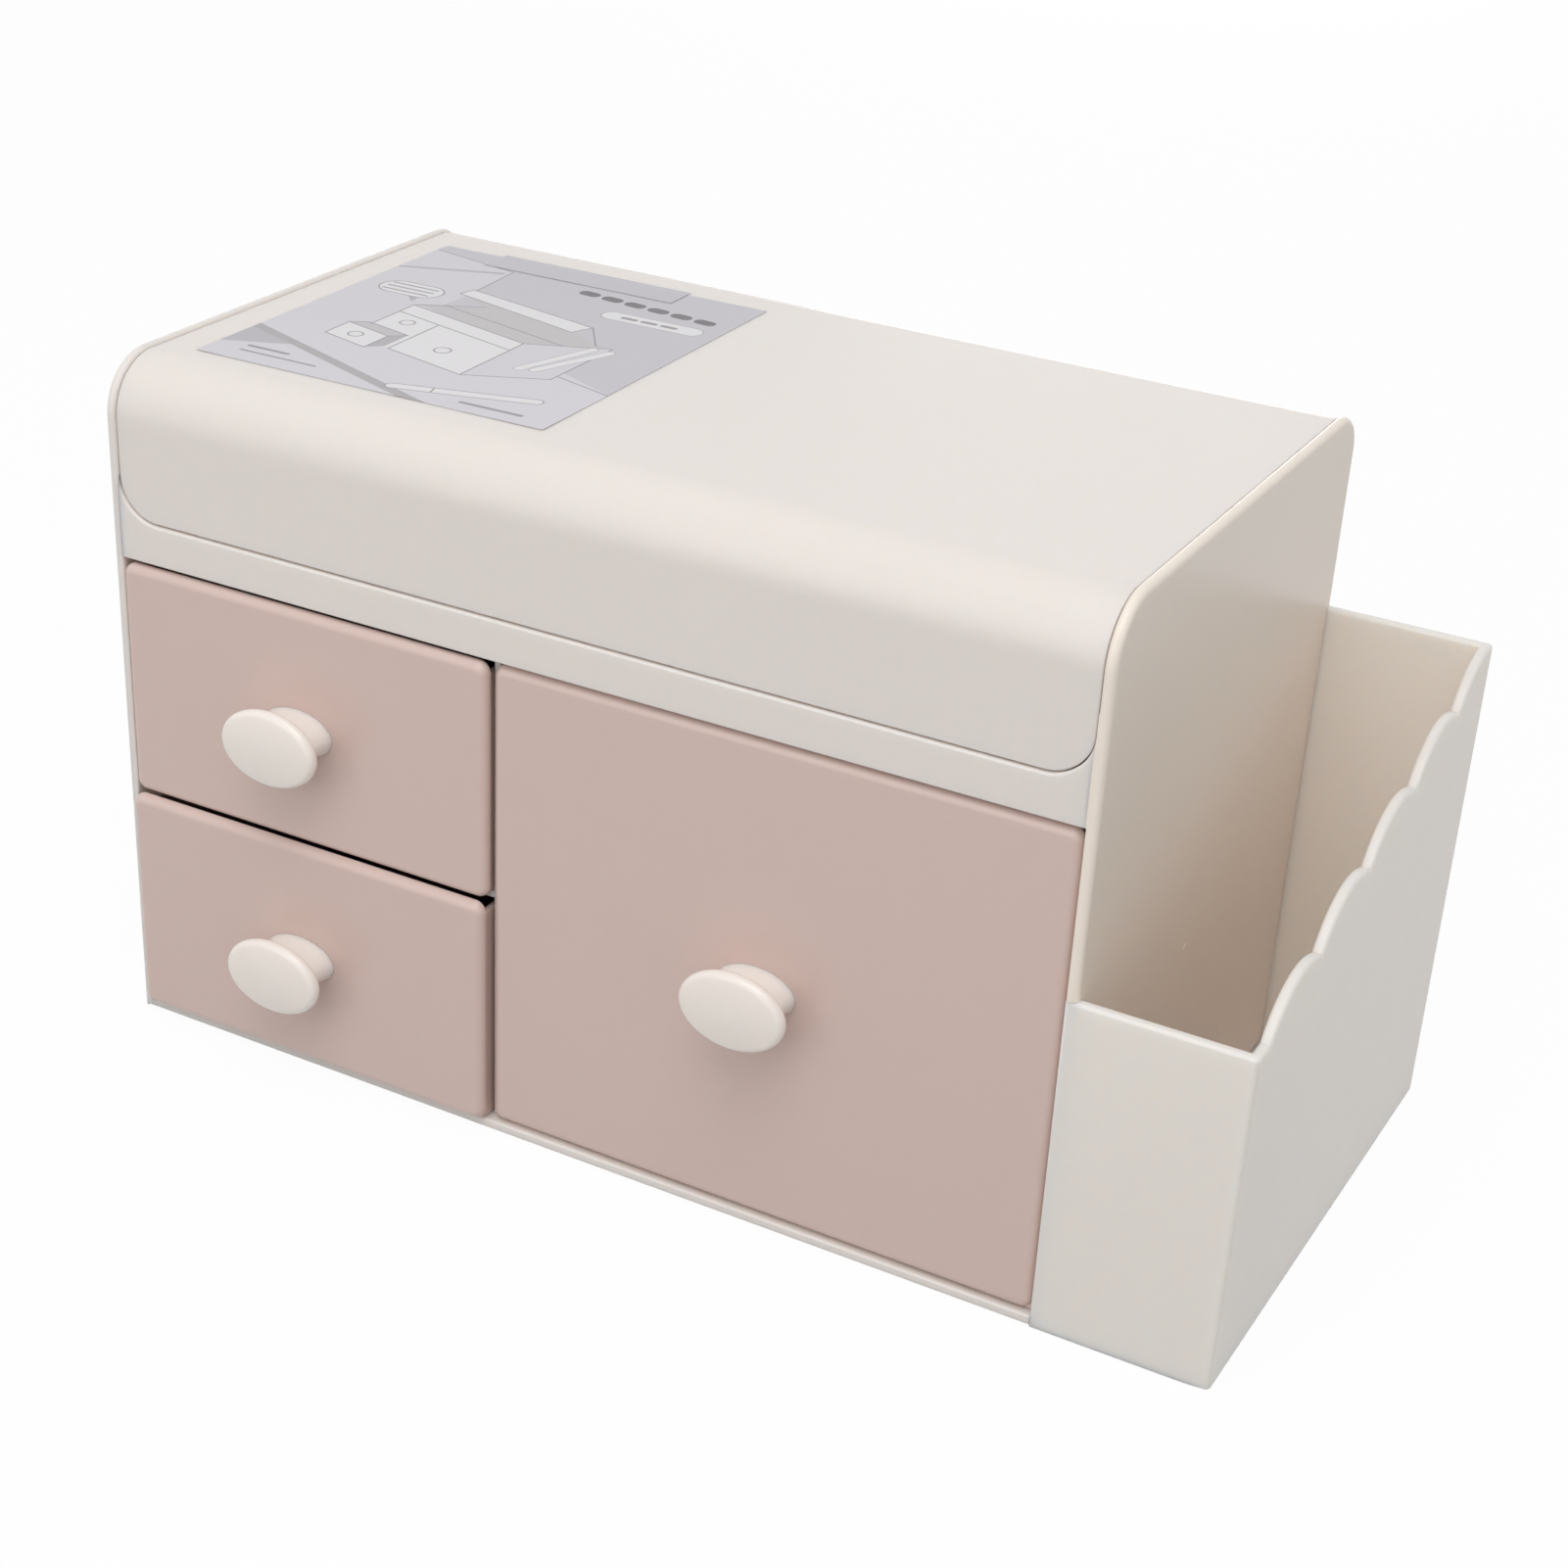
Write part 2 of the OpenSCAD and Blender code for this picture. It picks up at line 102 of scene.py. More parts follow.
def pick(piece, kind, wanted):   # goes into edit mode and selects what is wanted
    makeActive(piece)
    bpy.ops.object.mode_set(mode="EDIT")
    bpy.ops.mesh.select_mode(type=kind)
    bpy.ops.mesh.select_all(action="DESELECT")
    shape = bmesh.from_edit_mesh(piece.data)
    parts = {"VERT": shape.verts, "EDGE": shape.edges, "FACE": shape.faces}[kind]
    for part in parts:
        if wanted(part):
            part.select_set(True)
    shape.select_flush_mode()
    bmesh.update_edit_mesh(piece.data)


def near(metres, size):
    return abs(metres / mm - size) < 0.01


def ends(edge):
    return [vert.co / mm for vert in edge.verts]


def runsAlong(edge, axis):
    a, b = ends(edge)
    return abs((b - a)[axis]) > 0.999 * (b - a).length


def sharp(edge, angle=30):
    return len(edge.link_faces) == 2 and edge.calc_face_angle(0) > math.radians(angle)


def within(edge, low, high, slack=0.02):   # both ends lie in a box, None leaves a side open
    return all(
        (lo is None or p[i] > lo - slack) and (hi is None or p[i] < hi + slack)
        for p in ends(edge) for i, (lo, hi) in enumerate(zip(low, high)))


def roundEdges(piece, wanted, radius, steps):
    pick(piece, "EDGE", wanted)
    bpy.ops.mesh.bevel(offset=radius * mm, segments=steps, affect="EDGES", clamp_overlap=False)
    bpy.ops.object.mode_set(mode="OBJECT")


def tidyMesh(piece, angle=0.5):   # merges what a boolean leaves split
    makeActive(piece)
    bpy.ops.object.mode_set(mode="EDIT")
    bpy.ops.mesh.select_mode(type="VERT")
    bpy.ops.mesh.select_all(action="SELECT")
    bpy.ops.mesh.remove_doubles(threshold=mergeGap * mm)
    bpy.ops.mesh.dissolve_limited(angle_limit=math.radians(angle), use_dissolve_boundaries=False)
    bpy.ops.mesh.delete_loose(use_verts=True, use_edges=True, use_faces=False)
    bpy.ops.object.mode_set(mode="OBJECT")


def combine(piece, other, how):
    makeActive(piece)
    step = piece.modifiers.new("combine", "BOOLEAN")
    step.operation = how
    step.object = other
    step.solver = "EXACT"
    bpy.ops.object.modifier_apply(modifier=step.name)
    bpy.data.objects.remove(other)
    tidyMesh(piece)
    return piece


def cutAcross(piece, point, normal, drop=False):   # drop takes away what lies behind the plane and closes the cut
    pick(piece, "FACE", lambda f: True)
    bpy.ops.mesh.bisect(
        plane_co=Vector(point) * mm, plane_no=normal, clear_inner=drop, use_fill=drop, threshold=cutGap * mm)
    bpy.ops.object.mode_set(mode="OBJECT")


def startLine(name, point):   # a single point from which an outline is drawn
    clearSelection()
    bpy.ops.mesh.primitive_plane_add(size=2 * mm, location=Vector(point) * mm)
    piece = bpy.context.object
    piece.name = name
    settle(piece)
    pick(piece, "VERT", lambda v: v.index == 0)
    bpy.ops.mesh.select_all(action="INVERT")
    bpy.ops.mesh.delete(type="VERT")
    bpy.ops.mesh.select_all(action="SELECT")
    there = bmesh.from_edit_mesh(piece.data).verts[:][0].co
    bpy.ops.transform.translate(value=Vector(point) * mm - there)
    return piece


def lineTo(piece, point):   # draws on from the selected point
    shape = bmesh.from_edit_mesh(piece.data)
    here = [v.co for v in shape.verts if v.select][0]
    bpy.ops.mesh.extrude_vertices_move(TRANSFORM_OT_translate={"value": Vector(point) * mm - here})


def arcTo(centre, axis, degrees, steps):   # sweeps what is selected
    bpy.ops.mesh.spin(steps=steps, angle=math.radians(degrees), center=Vector(centre) * mm, axis=axis)


def closeLine():   # fills the outline
    bpy.ops.mesh.select_all(action="SELECT")
    bpy.ops.mesh.remove_doubles(threshold=mergeGap * mm)
    bpy.ops.mesh.edge_face_add()


def pull(step):   # extrudes what is selected
    bpy.ops.mesh.extrude_region_move(TRANSFORM_OT_translate={"value": Vector(step) * mm})


def faceOut(piece):
    makeActive(piece)
    bpy.ops.object.mode_set(mode="EDIT")
    bpy.ops.mesh.select_all(action="SELECT")
    bpy.ops.mesh.normals_make_consistent(inside=False)
    bpy.ops.object.mode_set(mode="OBJECT")


def turnedOut(edge):
    return sharp(edge) and edge.is_convex


def middle(edge):
    a, b = ends(edge)
    return (a + b) / 2


def shift(piece, step):
    piece.location = Vector(step) * mm
    settle(piece)


def copyOf(piece, name):
    other = piece.copy()
    other.data = piece.data.copy()
    other.name = name
    bpy.context.scene.collection.objects.link(other)
    return other


def smooth(piece, angle=35):   # sharp edges stay sharp, flat faces stay flat
    makeActive(piece)
    bpy.ops.object.shade_smooth_by_angle(angle=math.radians(angle))
    weigh = piece.modifiers.new("weigh", "WEIGHTED_NORMAL")
    weigh.keep_sharp = True
    bpy.ops.object.modifier_apply(modifier=weigh.name)


def report(piece):
    shape = bmesh.new()
    shape.from_mesh(piece.data)
    loose = sum(1 for e in shape.edges if len(e.link_faces) != 2)
    print("   ", piece.name, len(shape.faces), "faces", loose, "open edges", round(shape.calc_volume() * 1e9, 1), "mm3")
    shape.free()


def dress(piece, body, slotName, look, nodeName):   # nodeName is the CAD part that the piece stands for
    piece.data.materials.clear()
    piece.data.materials.append(look)
    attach(piece, body)
    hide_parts(nodeName)


class Wire:   # wraps a socket so that shader sums can be written as Python sums
    def __init__(self, tree, socket):
        self.tree = tree
        self.socket = socket

    def math(self, operation, *others):
        return add(self.tree, "ShaderNodeMath", {"operation": operation}, dict(enumerate((self, *others))))

    def __add__(self, other):
        return self.math("ADD", other)

    __radd__ = __add__

    def __sub__(self, other):
        return self.math("SUBTRACT", other)

    def __rsub__(self, other):
        return add(self.tree, "ShaderNodeMath", {"operation": "SUBTRACT"}, {0: other, 1: self})

    def __mul__(self, other):
        return self.math("MULTIPLY", other)

    __rmul__ = __mul__

    def __lt__(self, other):
        return self.math("LESS_THAN", other)

    def __gt__(self, other):
        return self.math("GREATER_THAN", other)


def add(tree, kind, settings, inputs, output=0):
    node = tree.nodes.new(kind)
    for name, value in settings.items():
        setattr(node, name, value)
    for name, value in inputs.items():
        if isinstance(value, Wire):
            tree.links.new(value.socket, node.inputs[name])
        else:
            node.inputs[name].default_value = value
    return Wire(tree, node.outputs[output])


def linear(colour):   # colours are written as seen, 0 to 255
    parts = [c / 255 for c in colour]
    return tuple(c / 12.92 if c < 0.04045 else ((c + 0.055) / 1.055) ** 2.4 for c in parts) + (1,)


def newLook(name):
    look = bpy.data.materials.new(name)
    look.use_nodes = True
    tree = look.node_tree
    shader = tree.nodes["Principled BSDF"]
    place = add(tree, "ShaderNodeTexCoord", {}, {}, "Object")
    return look, tree, shader, place


def noise(tree, place, scale, detail=2.0, roughness=0.5):
    return add(tree, "ShaderNodeTexNoise", {}, {
        "Vector": place, "Scale": scale, "Detail": detail, "Roughness": roughness})


def blendColours(tree, amount, first, second):
    return add(tree, "ShaderNodeMix", {"data_type": "RGBA"}, {0: amount, 6: first, 7: second}, 2)


def plug(tree, wire, shader, name):
    tree.links.new(wire.socket, shader.inputs[name])


def plasticLook(name, colour, shade, rough, roughSwing, grain, grainDepth, gloss=0.5, metallic=0.0, soak=None):
    look, tree, shader, place = newLook(name)
    broad = noise(tree, place, moulding["broadScale"], 3.0)
    fine = noise(tree, place, grain, 2.0)
    tone = blendColours(tree, broad * 0.5 + fine * 0.25, linear(colour), linear(shade))
    plug(tree, tone, shader, "Base Color")
    polish = noise(tree, place, moulding["polishScale"], 4.0)
    plug(tree, (polish - 0.5) * roughSwing + rough, shader, "Roughness")
    bump = add(tree, "ShaderNodeBump", {}, {"Strength": 1.0, "Distance": grainDepth * mm, "Height": fine})
    plug(tree, bump, shader, "Normal")
    fixed = {"IOR": moulding["ior"], "Specular IOR Level": gloss, "Metallic": metallic}
    if soak:   # light that soaks through thin walls: its share, its reach and its tint
        fixed.update({"Subsurface Weight": soak[0], "Subsurface Scale": soak[1] * mm, "Subsurface Radius": soak[2]})
    for socketName, value in fixed.items():
        shader.inputs[socketName].default_value = value
    return look


moulding = {"broadScale": 14.0, "polishScale": 55.0, "ior": 1.5}   # noise scales are per metre
softWhite = {"rough": 0.26, "roughSwing": 0.05, "grain": 900.0, "grainDepth": 0.004, "gloss": 0.32}
finishes = {   # a surface drifts between colour and shade; grain depth and the reach in soak are in mm
    "body": {
        "name": "warmWhitePlastic", "colour": (243, 233, 227), "shade": (240, 230, 223),
        "soak": (0.6, 4.0, (1.0, 0.8, 0.65)), **softWhite},
    # the pen box is the body plastic made lighter: painted light for the glow inside the pen box
    "penBox": {
        "name": "warmWhiteThinWall", "colour": (250, 239, 232), "shade": (247, 236, 228),
        "soak": (0.9, 4.5, (1.0, 0.85, 0.68)), **softWhite},
    # the right panel is the body plastic made lighter and warmer: painted light for the shaded pocket beside the pen
    # box
    "rightPanel": {
        "name": "warmWhitePlate", "colour": (252, 240, 228), "shade": (250, 237, 224),
        "soak": (0.15, 2.0, (1.0, 0.85, 0.7)), **softWhite},
    "drawer": {
        "name": "dustyPinkPlastic", "colour": (221, 199, 191), "shade": (217, 194, 186),
        "rough": 0.30, "roughSwing": 0.06, "grain": 900.0, "grainDepth": 0.006, "soak": (0.35, 2.5, (1.0, 0.7, 0.6))},
    "knob": {
        "name": "creamGlossPlastic", "colour": (248, 240, 233), "shade": (245, 236, 229),
        "rough": 0.12, "roughSwing": 0.03, "grain": 500.0, "grainDepth": 0.0005, "soak": (0.5, 2.5, (1.0, 0.92, 0.85))},
    "tape": {
        "name": "clearTape", "colour": (190, 187, 194), "shade": (185, 182, 189),
        "rough": 0.22, "roughSwing": 0.05, "grain": 300.0, "grainDepth": 0.004},
    "steel": {
        "name": "zincSteel", "colour": (178, 178, 182), "shade": (160, 160, 166),
        "rough": 0.32, "roughSwing": 0.10, "grain": 600.0, "grainDepth": 0.004, "metallic": 1.0},
}
looks = {key: plasticLook(**finish) for key, finish in finishes.items()}
print("stage: materials made")

# Side panels, front rail and base are shaped as one shell and then parted
shell = {
    "left": -143.0, "right": 104.0, "front": -70.0, "back": 70.0, "top": 169.0,
    "wall": 2.6, "frontRound": 14.0, "backRound": 10.0, "outerEdge": 1.5, "footEdge": 1.0,
    "rimEdge": 0.95, "recessEdge": 0.6, "openingEdge": 0.45, "baseTop": 2.6, "baseBack": 67.8,
    "railBottom": 121.7, "railTop": 131.4, "stepHeight": 147.0, "recessRound": 10.4,
    "hingeY": 60.0, "hingeZ": 159.0, "socketRadius": 2.58, "socketDepth": 1.7, "partingZ": 60.0, "seam": 0.005,
}
penBox = {
    "right": 143.0, "wall": 2.6, "frontTop": 82.5, "backTop": 120.76, "floorTop": 2.6,
    "flat": 6.8, "run": 28.1, "rise": 7.2, "lobeRadius": 22.4, "lobes": 5, "lobeSteps": 30,
    "lastShort": 2.4,   # degrees that the last lobe stops short of its top
    "cornerEdge": 1.3, "rimEdge": 0.85, "rimStart": 102.4, "footEdge": 0.6,
}
over, above = 5, 200   # how far a cutting block reaches past what it cuts, and a height over the whole cabinet
inLeft, inRight = shell["left"] + shell["wall"], shell["right"] - shell["wall"]
skin = shell["front"] + shell["wall"]


def cornerWeb(piece, x, toMiddle):   # hollow corner between the rail and a side panel
    r, z = shell["recessRound"], shell["railTop"]
    pick(piece, "VERT", lambda v: near(v.co.x, x + toMiddle * r) and near(v.co.z, z))
    arcTo((x + toMiddle * r, shell["front"], z + r), (0, 1, 0), -90 * toMiddle, 26)
    bpy.ops.mesh.select_all(action="SELECT")
    bpy.ops.mesh.remove_doubles(threshold=mergeGap * mm)
    reach = r * 1.001
    inCorner = lambda p: abs(p.x - x - toMiddle * r / 2) < reach / 2 and z - 0.01 < p.z < z + reach
    pick(piece, "EDGE", lambda e: len(e.link_faces) < 2 and all(inCorner(p) for p in ends(e)))
    bpy.ops.mesh.edge_face_add()
    bpy.ops.object.mode_set(mode="OBJECT")


def frontOutline():
    high = shell["top"]
    clearSelection()
    centre = Vector(((shell["left"] + shell["right"]) / 2, shell["front"], high / 2)) * mm
    bpy.ops.mesh.primitive_plane_add(size=1, location=centre, rotation=(math.pi / 2, 0, 0))
    piece = bpy.context.object
    piece.name = "shell"
    piece.scale = ((shell["right"] - shell["left"]) * mm, high * mm, 1)
    settle(piece)
    r = shell["recessRound"]
    for x in (inLeft, inLeft + r, 0, inRight - r, inRight):
        cutAcross(piece, (x, 0, 0), (1, 0, 0))
    for z in (shell["baseTop"], shell["railBottom"], shell["railTop"], shell["railTop"] + r, shell["stepHeight"]):
        cutAcross(piece, (0, 0, z), (0, 0, 1))
    opening = lambda p: inLeft < p.x / mm < inRight and (
        shell["baseTop"] < p.z / mm < shell["railBottom"] or p.z / mm > shell["railTop"])
    pick(piece, "FACE", lambda f: opening(f.calc_center_median()))
    bpy.ops.mesh.delete(type="FACE")
    cornerWeb(piece, inLeft, 1)
    cornerWeb(piece, inRight, -1)
    return piece


def pullBack(piece, wanted, fromY, toY):
    pick(piece, "FACE", lambda f: near(f.calc_center_median().y, fromY) and wanted(f.calc_center_median() / mm))
    pull((0, toY - fromY, 0))
    bpy.ops.object.mode_set(mode="OBJECT")


def shapeShell():
    piece = frontOutline()
    panel = lambda c: c.x < inLeft or c.x > inRight
    pullBack(piece, lambda c: True, shell["front"], skin)
    pullBack(piece, lambda c: panel(c) or c.z < shell["baseTop"], skin, shell["baseBack"])
    pullBack(piece, panel, shell["baseBack"], shell["back"])
    faceOut(piece)
    flat = lambda e: len(e.link_faces) == 2 and e.calc_face_angle(0) < 0.01 and abs(middle(e).x) > 0.01
    pick(piece, "EDGE", flat)
    bpy.ops.mesh.dissolve_edges(use_verts=False)
    straight = lambda v: len(v.link_edges) == 2 and v.calc_edge_angle() < 0.01
    pick(piece, "VERT", lambda v: straight(v) and not near(v.co.z, shell["stepHeight"]))
    bpy.ops.mesh.dissolve_verts()
    bpy.ops.object.mode_set(mode="OBJECT")
    report(piece)
    front, back, top = shell["front"], shell["back"], shell["top"]
    step = shell["stepHeight"]
    topFront = lambda e: runsAlong(e, 0) and within(e, (None, None, top), (None, front, None))
    roundEdges(piece, topFront, shell["frontRound"], 28)
    roundEdges(piece, lambda e: runsAlong(e, 0) and within(e, (None, back, top), anywhere), shell["backRound"], 22)
    inPlane = lambda e, x, low: within(e, (x, None, low), (x, None, None))
    outline = lambda e: sharp(e) and any(inPlane(e, x, None) for x in (shell["left"], shell["right"]))
    roundEdges(piece, outline, shell["outerEdge"], 6)
    rim = lambda e: turnedOut(e) and any(inPlane(e, x, step) for x in (inLeft, inRight))
    roundEdges(piece, rim, shell["rimEdge"], 6)
    atFront = lambda e, low, high: turnedOut(e) and within(e, (inLeft, front, low), (inRight, front, high))
    roundEdges(piece, lambda e: atFront(e, shell["railTop"], step), shell["recessEdge"], 6)
    roundEdges(piece, lambda e: atFront(e, shell["baseTop"], shell["railBottom"]), shell["openingEdge"], 4)
    foot = lambda e: turnedOut(e) and runsAlong(e, 0) and within(e, anywhere, (None, -60, 0))
    roundEdges(piece, foot, shell["footEdge"], 5)
    report(piece)
    return piece


def shapePenBox():
    front, back, wall, right = shell["front"], shell["back"], penBox["wall"], penBox["right"]
    run, rise, radius = penBox["run"], penBox["rise"], penBox["lobeRadius"]
    half = math.hypot(run, rise) / 2
    sink = math.sqrt(radius ** 2 - half ** 2)
    sweep = 2 * math.degrees(math.asin(half / radius))
    flatEnd = front + penBox["flat"]
    piece = startLine("pen_box_dressed", (inRight, front, 0))
    lineTo(piece, (inRight, front, penBox["frontTop"]))
    lineTo(piece, (inRight, flatEnd, penBox["frontTop"]))
    for i in range(penBox["lobes"]):
        y = flatEnd + run * (i + 0.5) + sink * rise / (2 * half)
        z = penBox["frontTop"] + rise * (i + 0.5) - sink * run / (2 * half)
        if i == penBox["lobes"] - 1:   # the last lobe stops just before its top
            sweep = sweep / 2 + math.degrees(math.atan2(rise, run)) - penBox["lastShort"]
        arcTo((inRight, y, z), (1, 0, 0), sweep, penBox["lobeSteps"])
    lineTo(piece, (inRight, back, penBox["backTop"]))
    lineTo(piece, (inRight, back, 0))
    closeLine()
    bpy.ops.mesh.select_all(action="SELECT")
    pull((right - inRight, 0, 0))
    bpy.ops.object.mode_set(mode="OBJECT")
    faceOut(piece)
    inside = block("inside", (shell["right"] - 1, skin, penBox["floorTop"]), (right - wall, back - wall, above))
    combine(piece, inside, "DIFFERENCE")
    beside = block("beside", (inRight - over, skin, -over), (shell["right"], back - wall, above))
    combine(piece, beside, "DIFFERENCE")
    cutAcross(piece, (penBox["rimStart"], 0, 0), (1, 0, 0))
    report(piece)
    upright = lambda e, low, high: turnedOut(e) and runsAlong(e, 2) and within(e, low, high)
    frontCorner = lambda e: upright(e, (right, None, None), (None, front, None))
    roundEdges(piece, frontCorner, penBox["cornerEdge"], 7)
    roundEdges(piece, lambda e: upright(e, (right, back, None), anywhere), penBox["cornerEdge"], 7)
    rimLow, rimHigh = penBox["rimStart"] - 0.1, penBox["rimStart"] + 0.1
    rim = lambda e: turnedOut(e) and within(e, (rimLow, None, penBox["frontTop"] - 0.5), anywhere) and (
        not within(e, anywhere, (rimHigh, None, None)))
    innerLow, innerHigh = (None, back - wall - 0.1, 100), (rimHigh, back - wall + 0.1, None)
    innerBack = lambda e: turnedOut(e) and runsAlong(e, 0) and within(e, innerLow, innerHigh)
    roundEdges(piece, lambda e: rim(e) or innerBack(e), penBox["rimEdge"], 6)
    foot = lambda e: turnedOut(e) and within(e, (shell["right"] + 0.1, None, None), (None, None, 0))
    roundEdges(piece, foot, penBox["footEdge"], 4)
    lap = lambda e: upright(e, (inRight, None, None), (inRight, front, None))
    roundEdges(piece, lap, shell["openingEdge"], 4)
    return piece


def partOf(whole, name, cuts):   # keeps what lies on the side that each normal points to
    piece = copyOf(whole, name)
    for point, normal in cuts:
        cutAcross(piece, point, normal, True)
    return piece


def partShell(whole):
    leftCut, rightCut = inLeft + shell["seam"], inRight - shell["seam"]   # keeps the cuts off the panels' inner faces
    left = partOf(whole, "left_panel_dressed", [((leftCut, 0, 0), (-1, 0, 0))])
    right = partOf(whole, "right_panel_dressed", [((rightCut, 0, 0), (1, 0, 0))])
    between = [((leftCut, 0, 0), (1, 0, 0)), ((rightCut, 0, 0), (-1, 0, 0))]
    rail = partOf(whole, "front_rail_dressed", between + [((0, 0, shell["partingZ"]), (0, 0, 1))])
    base = partOf(whole, "base_dressed", between + [((0, 0, shell["partingZ"]), (0, 0, -1))])
    y, z, r, deep = shell["hingeY"], shell["hingeZ"], shell["socketRadius"], shell["socketDepth"]
    combine(left, rod("socket", (inLeft - deep, y, z), (inLeft + 3, y, z), r, 48), "DIFFERENCE")
    combine(right, rod("socket", (inRight - 3, y, z), (inRight + deep, y, z), r, 48), "DIFFERENCE")
    front, back, outside = shell["front"], shell["back"], shell["right"] + over
    lap = block("lap", (inRight - over, front - over, -over), (outside, skin, penBox["frontTop"]))
    combine(right, lap, "DIFFERENCE")
    lap = block("lap", (inRight - over, back - penBox["wall"], -over), (outside, back + over, penBox["backTop"]))
    combine(right, lap, "DIFFERENCE")
    bpy.data.objects.remove(whole)
    return left, right, rail, base


leftPanel, rightPanel, railPiece, basePiece = partShell(shapeShell())
penPiece = shapePenBox()
for piece, node, look in (
        (leftPanel, "left_side_panel", "body"), (rightPanel, "right_side_panel", "rightPanel"),
        (railPiece, "front_rail", "body"), (basePiece, "base_panel", "body"), (penPiece, "pen_box", "penBox")):
    smooth(piece)
    report(piece)
    dress(piece, "cabinet", "body_plastic", looks[look], node)
print("stage: shell and pen box shaped")

# Back panel, top tray, centre divider and drawer shelf
inner = {
    "backTop": 152.7, "backEdge": 0.4, "trayTop": 123.7, "trayRim": 143.7, "trayEdge": 0.5,
    "dividerLeft": -39.5, "dividerRight": -37.9, "trayFront": -66.0,
    "crossFront": 2.0, "crossBack": 3.6, "stopFront": 50.3, "stopBack": 52.5,
    "seat": -66.7, "shelfBottom": 61.05, "shelfTop": 62.65, "plateEdge": 0.3,
}


def plate(name, low, high, edge):
    piece = block(name, low, high)
    roundEdges(piece, sharp, edge, 3)
    return piece


def shapeTray():
    low, high = (inLeft, skin, shell["railBottom"]), (inRight, shell["baseBack"], inner["trayTop"])
    piece = block("top_tray_dressed", low, high)
    left, right = inner["dividerLeft"], inner["dividerRight"]
    for x in (left, right):
        cutAcross(piece, (x, 0, 0), (1, 0, 0))
    for y in (inner["trayFront"], inner["crossFront"], inner["crossBack"], inner["stopFront"], inner["stopBack"]):
        cutAcross(piece, (0, y, 0), (0, 1, 0))
    stop = lambda c: inner["stopFront"] < c.y < inner["stopBack"]
    divider = lambda c: left < c.x < right and inner["trayFront"] < c.y < inner["stopFront"]
    cross = lambda c: c.x > right and inner["crossFront"] < c.y < inner["crossBack"]
    wall = lambda c: stop(c) or divider(c) or cross(c)
    upward = lambda f, z: f.normal.z > 0.9 and near(f.calc_center_median().z, z)
    pick(piece, "FACE", lambda f: upward(f, inner["trayTop"]) and wall(f.calc_center_median() / mm))
    pull((0, 0, inner["trayRim"] - inner["trayTop"]))
    pick(piece, "FACE", lambda f: upward(f, inner["trayRim"]) and stop(f.calc_center_median() / mm))
    pull((0, 0, inner["backTop"] - inner["trayRim"]))
    bpy.ops.object.mode_set(mode="OBJECT")
    tidyMesh(piece)
    overFloor = (None, None, inner["trayTop"] + 6.3)
    roundEdges(piece, lambda e: turnedOut(e) and within(e, overFloor, anywhere), inner["trayEdge"], 4)
    return piece


backPiece = plate("back_panel_dressed", (inLeft, shell["baseBack"], 0),
                  (inRight, shell["back"], inner["backTop"]), inner["backEdge"])
dividerPiece = plate("centre_divider_dressed", (inner["dividerLeft"], inner["seat"], shell["baseTop"]),
                     (inner["dividerRight"], shell["baseBack"], shell["railBottom"]), inner["plateEdge"])
shelfPiece = plate("drawer_shelf_dressed", (inLeft, inner["seat"], inner["shelfBottom"]),
                   (inner["dividerLeft"], shell["baseBack"], inner["shelfTop"]), inner["plateEdge"])
for piece, node in ((backPiece, "back_panel"), (shapeTray(), "top_tray"),
                    (dividerPiece, "centre_divider"), (shelfPiece, "drawer_shelf")):
    smooth(piece)
    report(piece)
    dress(piece, "cabinet", "body_plastic", looks["body"], node)
print("stage: inner parts shaped")

# Lid: one bent sheet with an ear and a hinge pin at each end of its rear edge
lidSizes = {
    "left": -140.2, "right": 101.15, "front": -69.4, "bottom": 131.8, "top": 168.4, "thick": 2.4,
    "bendY": -56.0, "bendZ": 155.0, "bendSteps": 36, "rollRadius": 9.4, "rollDown": 40, "corner": 10.0,
    "outerEdge": 0.4, "innerEdge": 0.35, "earRadius": 6.0, "earInset": 0.02,
    "pinRadius": 2.5, "pinRoot": 1.2, "pinOut": 1.7, "pinTip": 0.4,
}


def lidDepth(p):   # how far a point lies inside the lid's outer surface
    size = lidSizes
    bend = size["top"] - size["bendZ"]
    if p.y < size["bendY"] and p.z > size["bendZ"]:
        return bend - math.hypot(p.y - size["bendY"], p.z - size["bendZ"])
    if p.y < size["bendY"]:
        return p.y - size["front"]
    if p.y > shell["hingeY"]:
        return size["rollRadius"] - math.hypot(p.y - shell["hingeY"], p.z - shell["hingeZ"])
    return size["top"] - p.z


def shapeLidSheet():
    size = lidSizes
    x, hingeY, hingeZ = size["left"], shell["hingeY"], shell["hingeZ"]
    piece = startLine("lid_dressed", (x, size["front"], size["bottom"]))
    lineTo(piece, (x, size["front"], size["bendZ"]))
    arcTo((x, size["bendY"], size["bendZ"]), (1, 0, 0), 90, size["bendSteps"])
    lineTo(piece, (x, hingeY, size["top"]))
    arcTo((x, hingeY, hingeZ), (1, 0, 0), 90 + size["rollDown"], size["bendSteps"])
    bpy.ops.mesh.select_all(action="SELECT")
    bpy.ops.mesh.remove_doubles(threshold=mergeGap * mm)
    pull((size["right"] - size["left"], 0, 0))
    bpy.ops.mesh.select_all(action="SELECT")
    bpy.ops.mesh.normals_make_consistent(inside=False)
    up = sum(f.normal.z * f.calc_area() for f in bmesh.from_edit_mesh(piece.data).faces)
    if up < 0:
        bpy.ops.mesh.flip_normals()
    bpy.ops.object.mode_set(mode="OBJECT")
    thicken = piece.modifiers.new("thicken", "SOLIDIFY")
    thicken.thickness = size["thick"] * mm
    thicken.offset = -1
    thicken.use_even_offset = True
    bpy.ops.object.modifier_apply(modifier=thicken.name)
    return piece


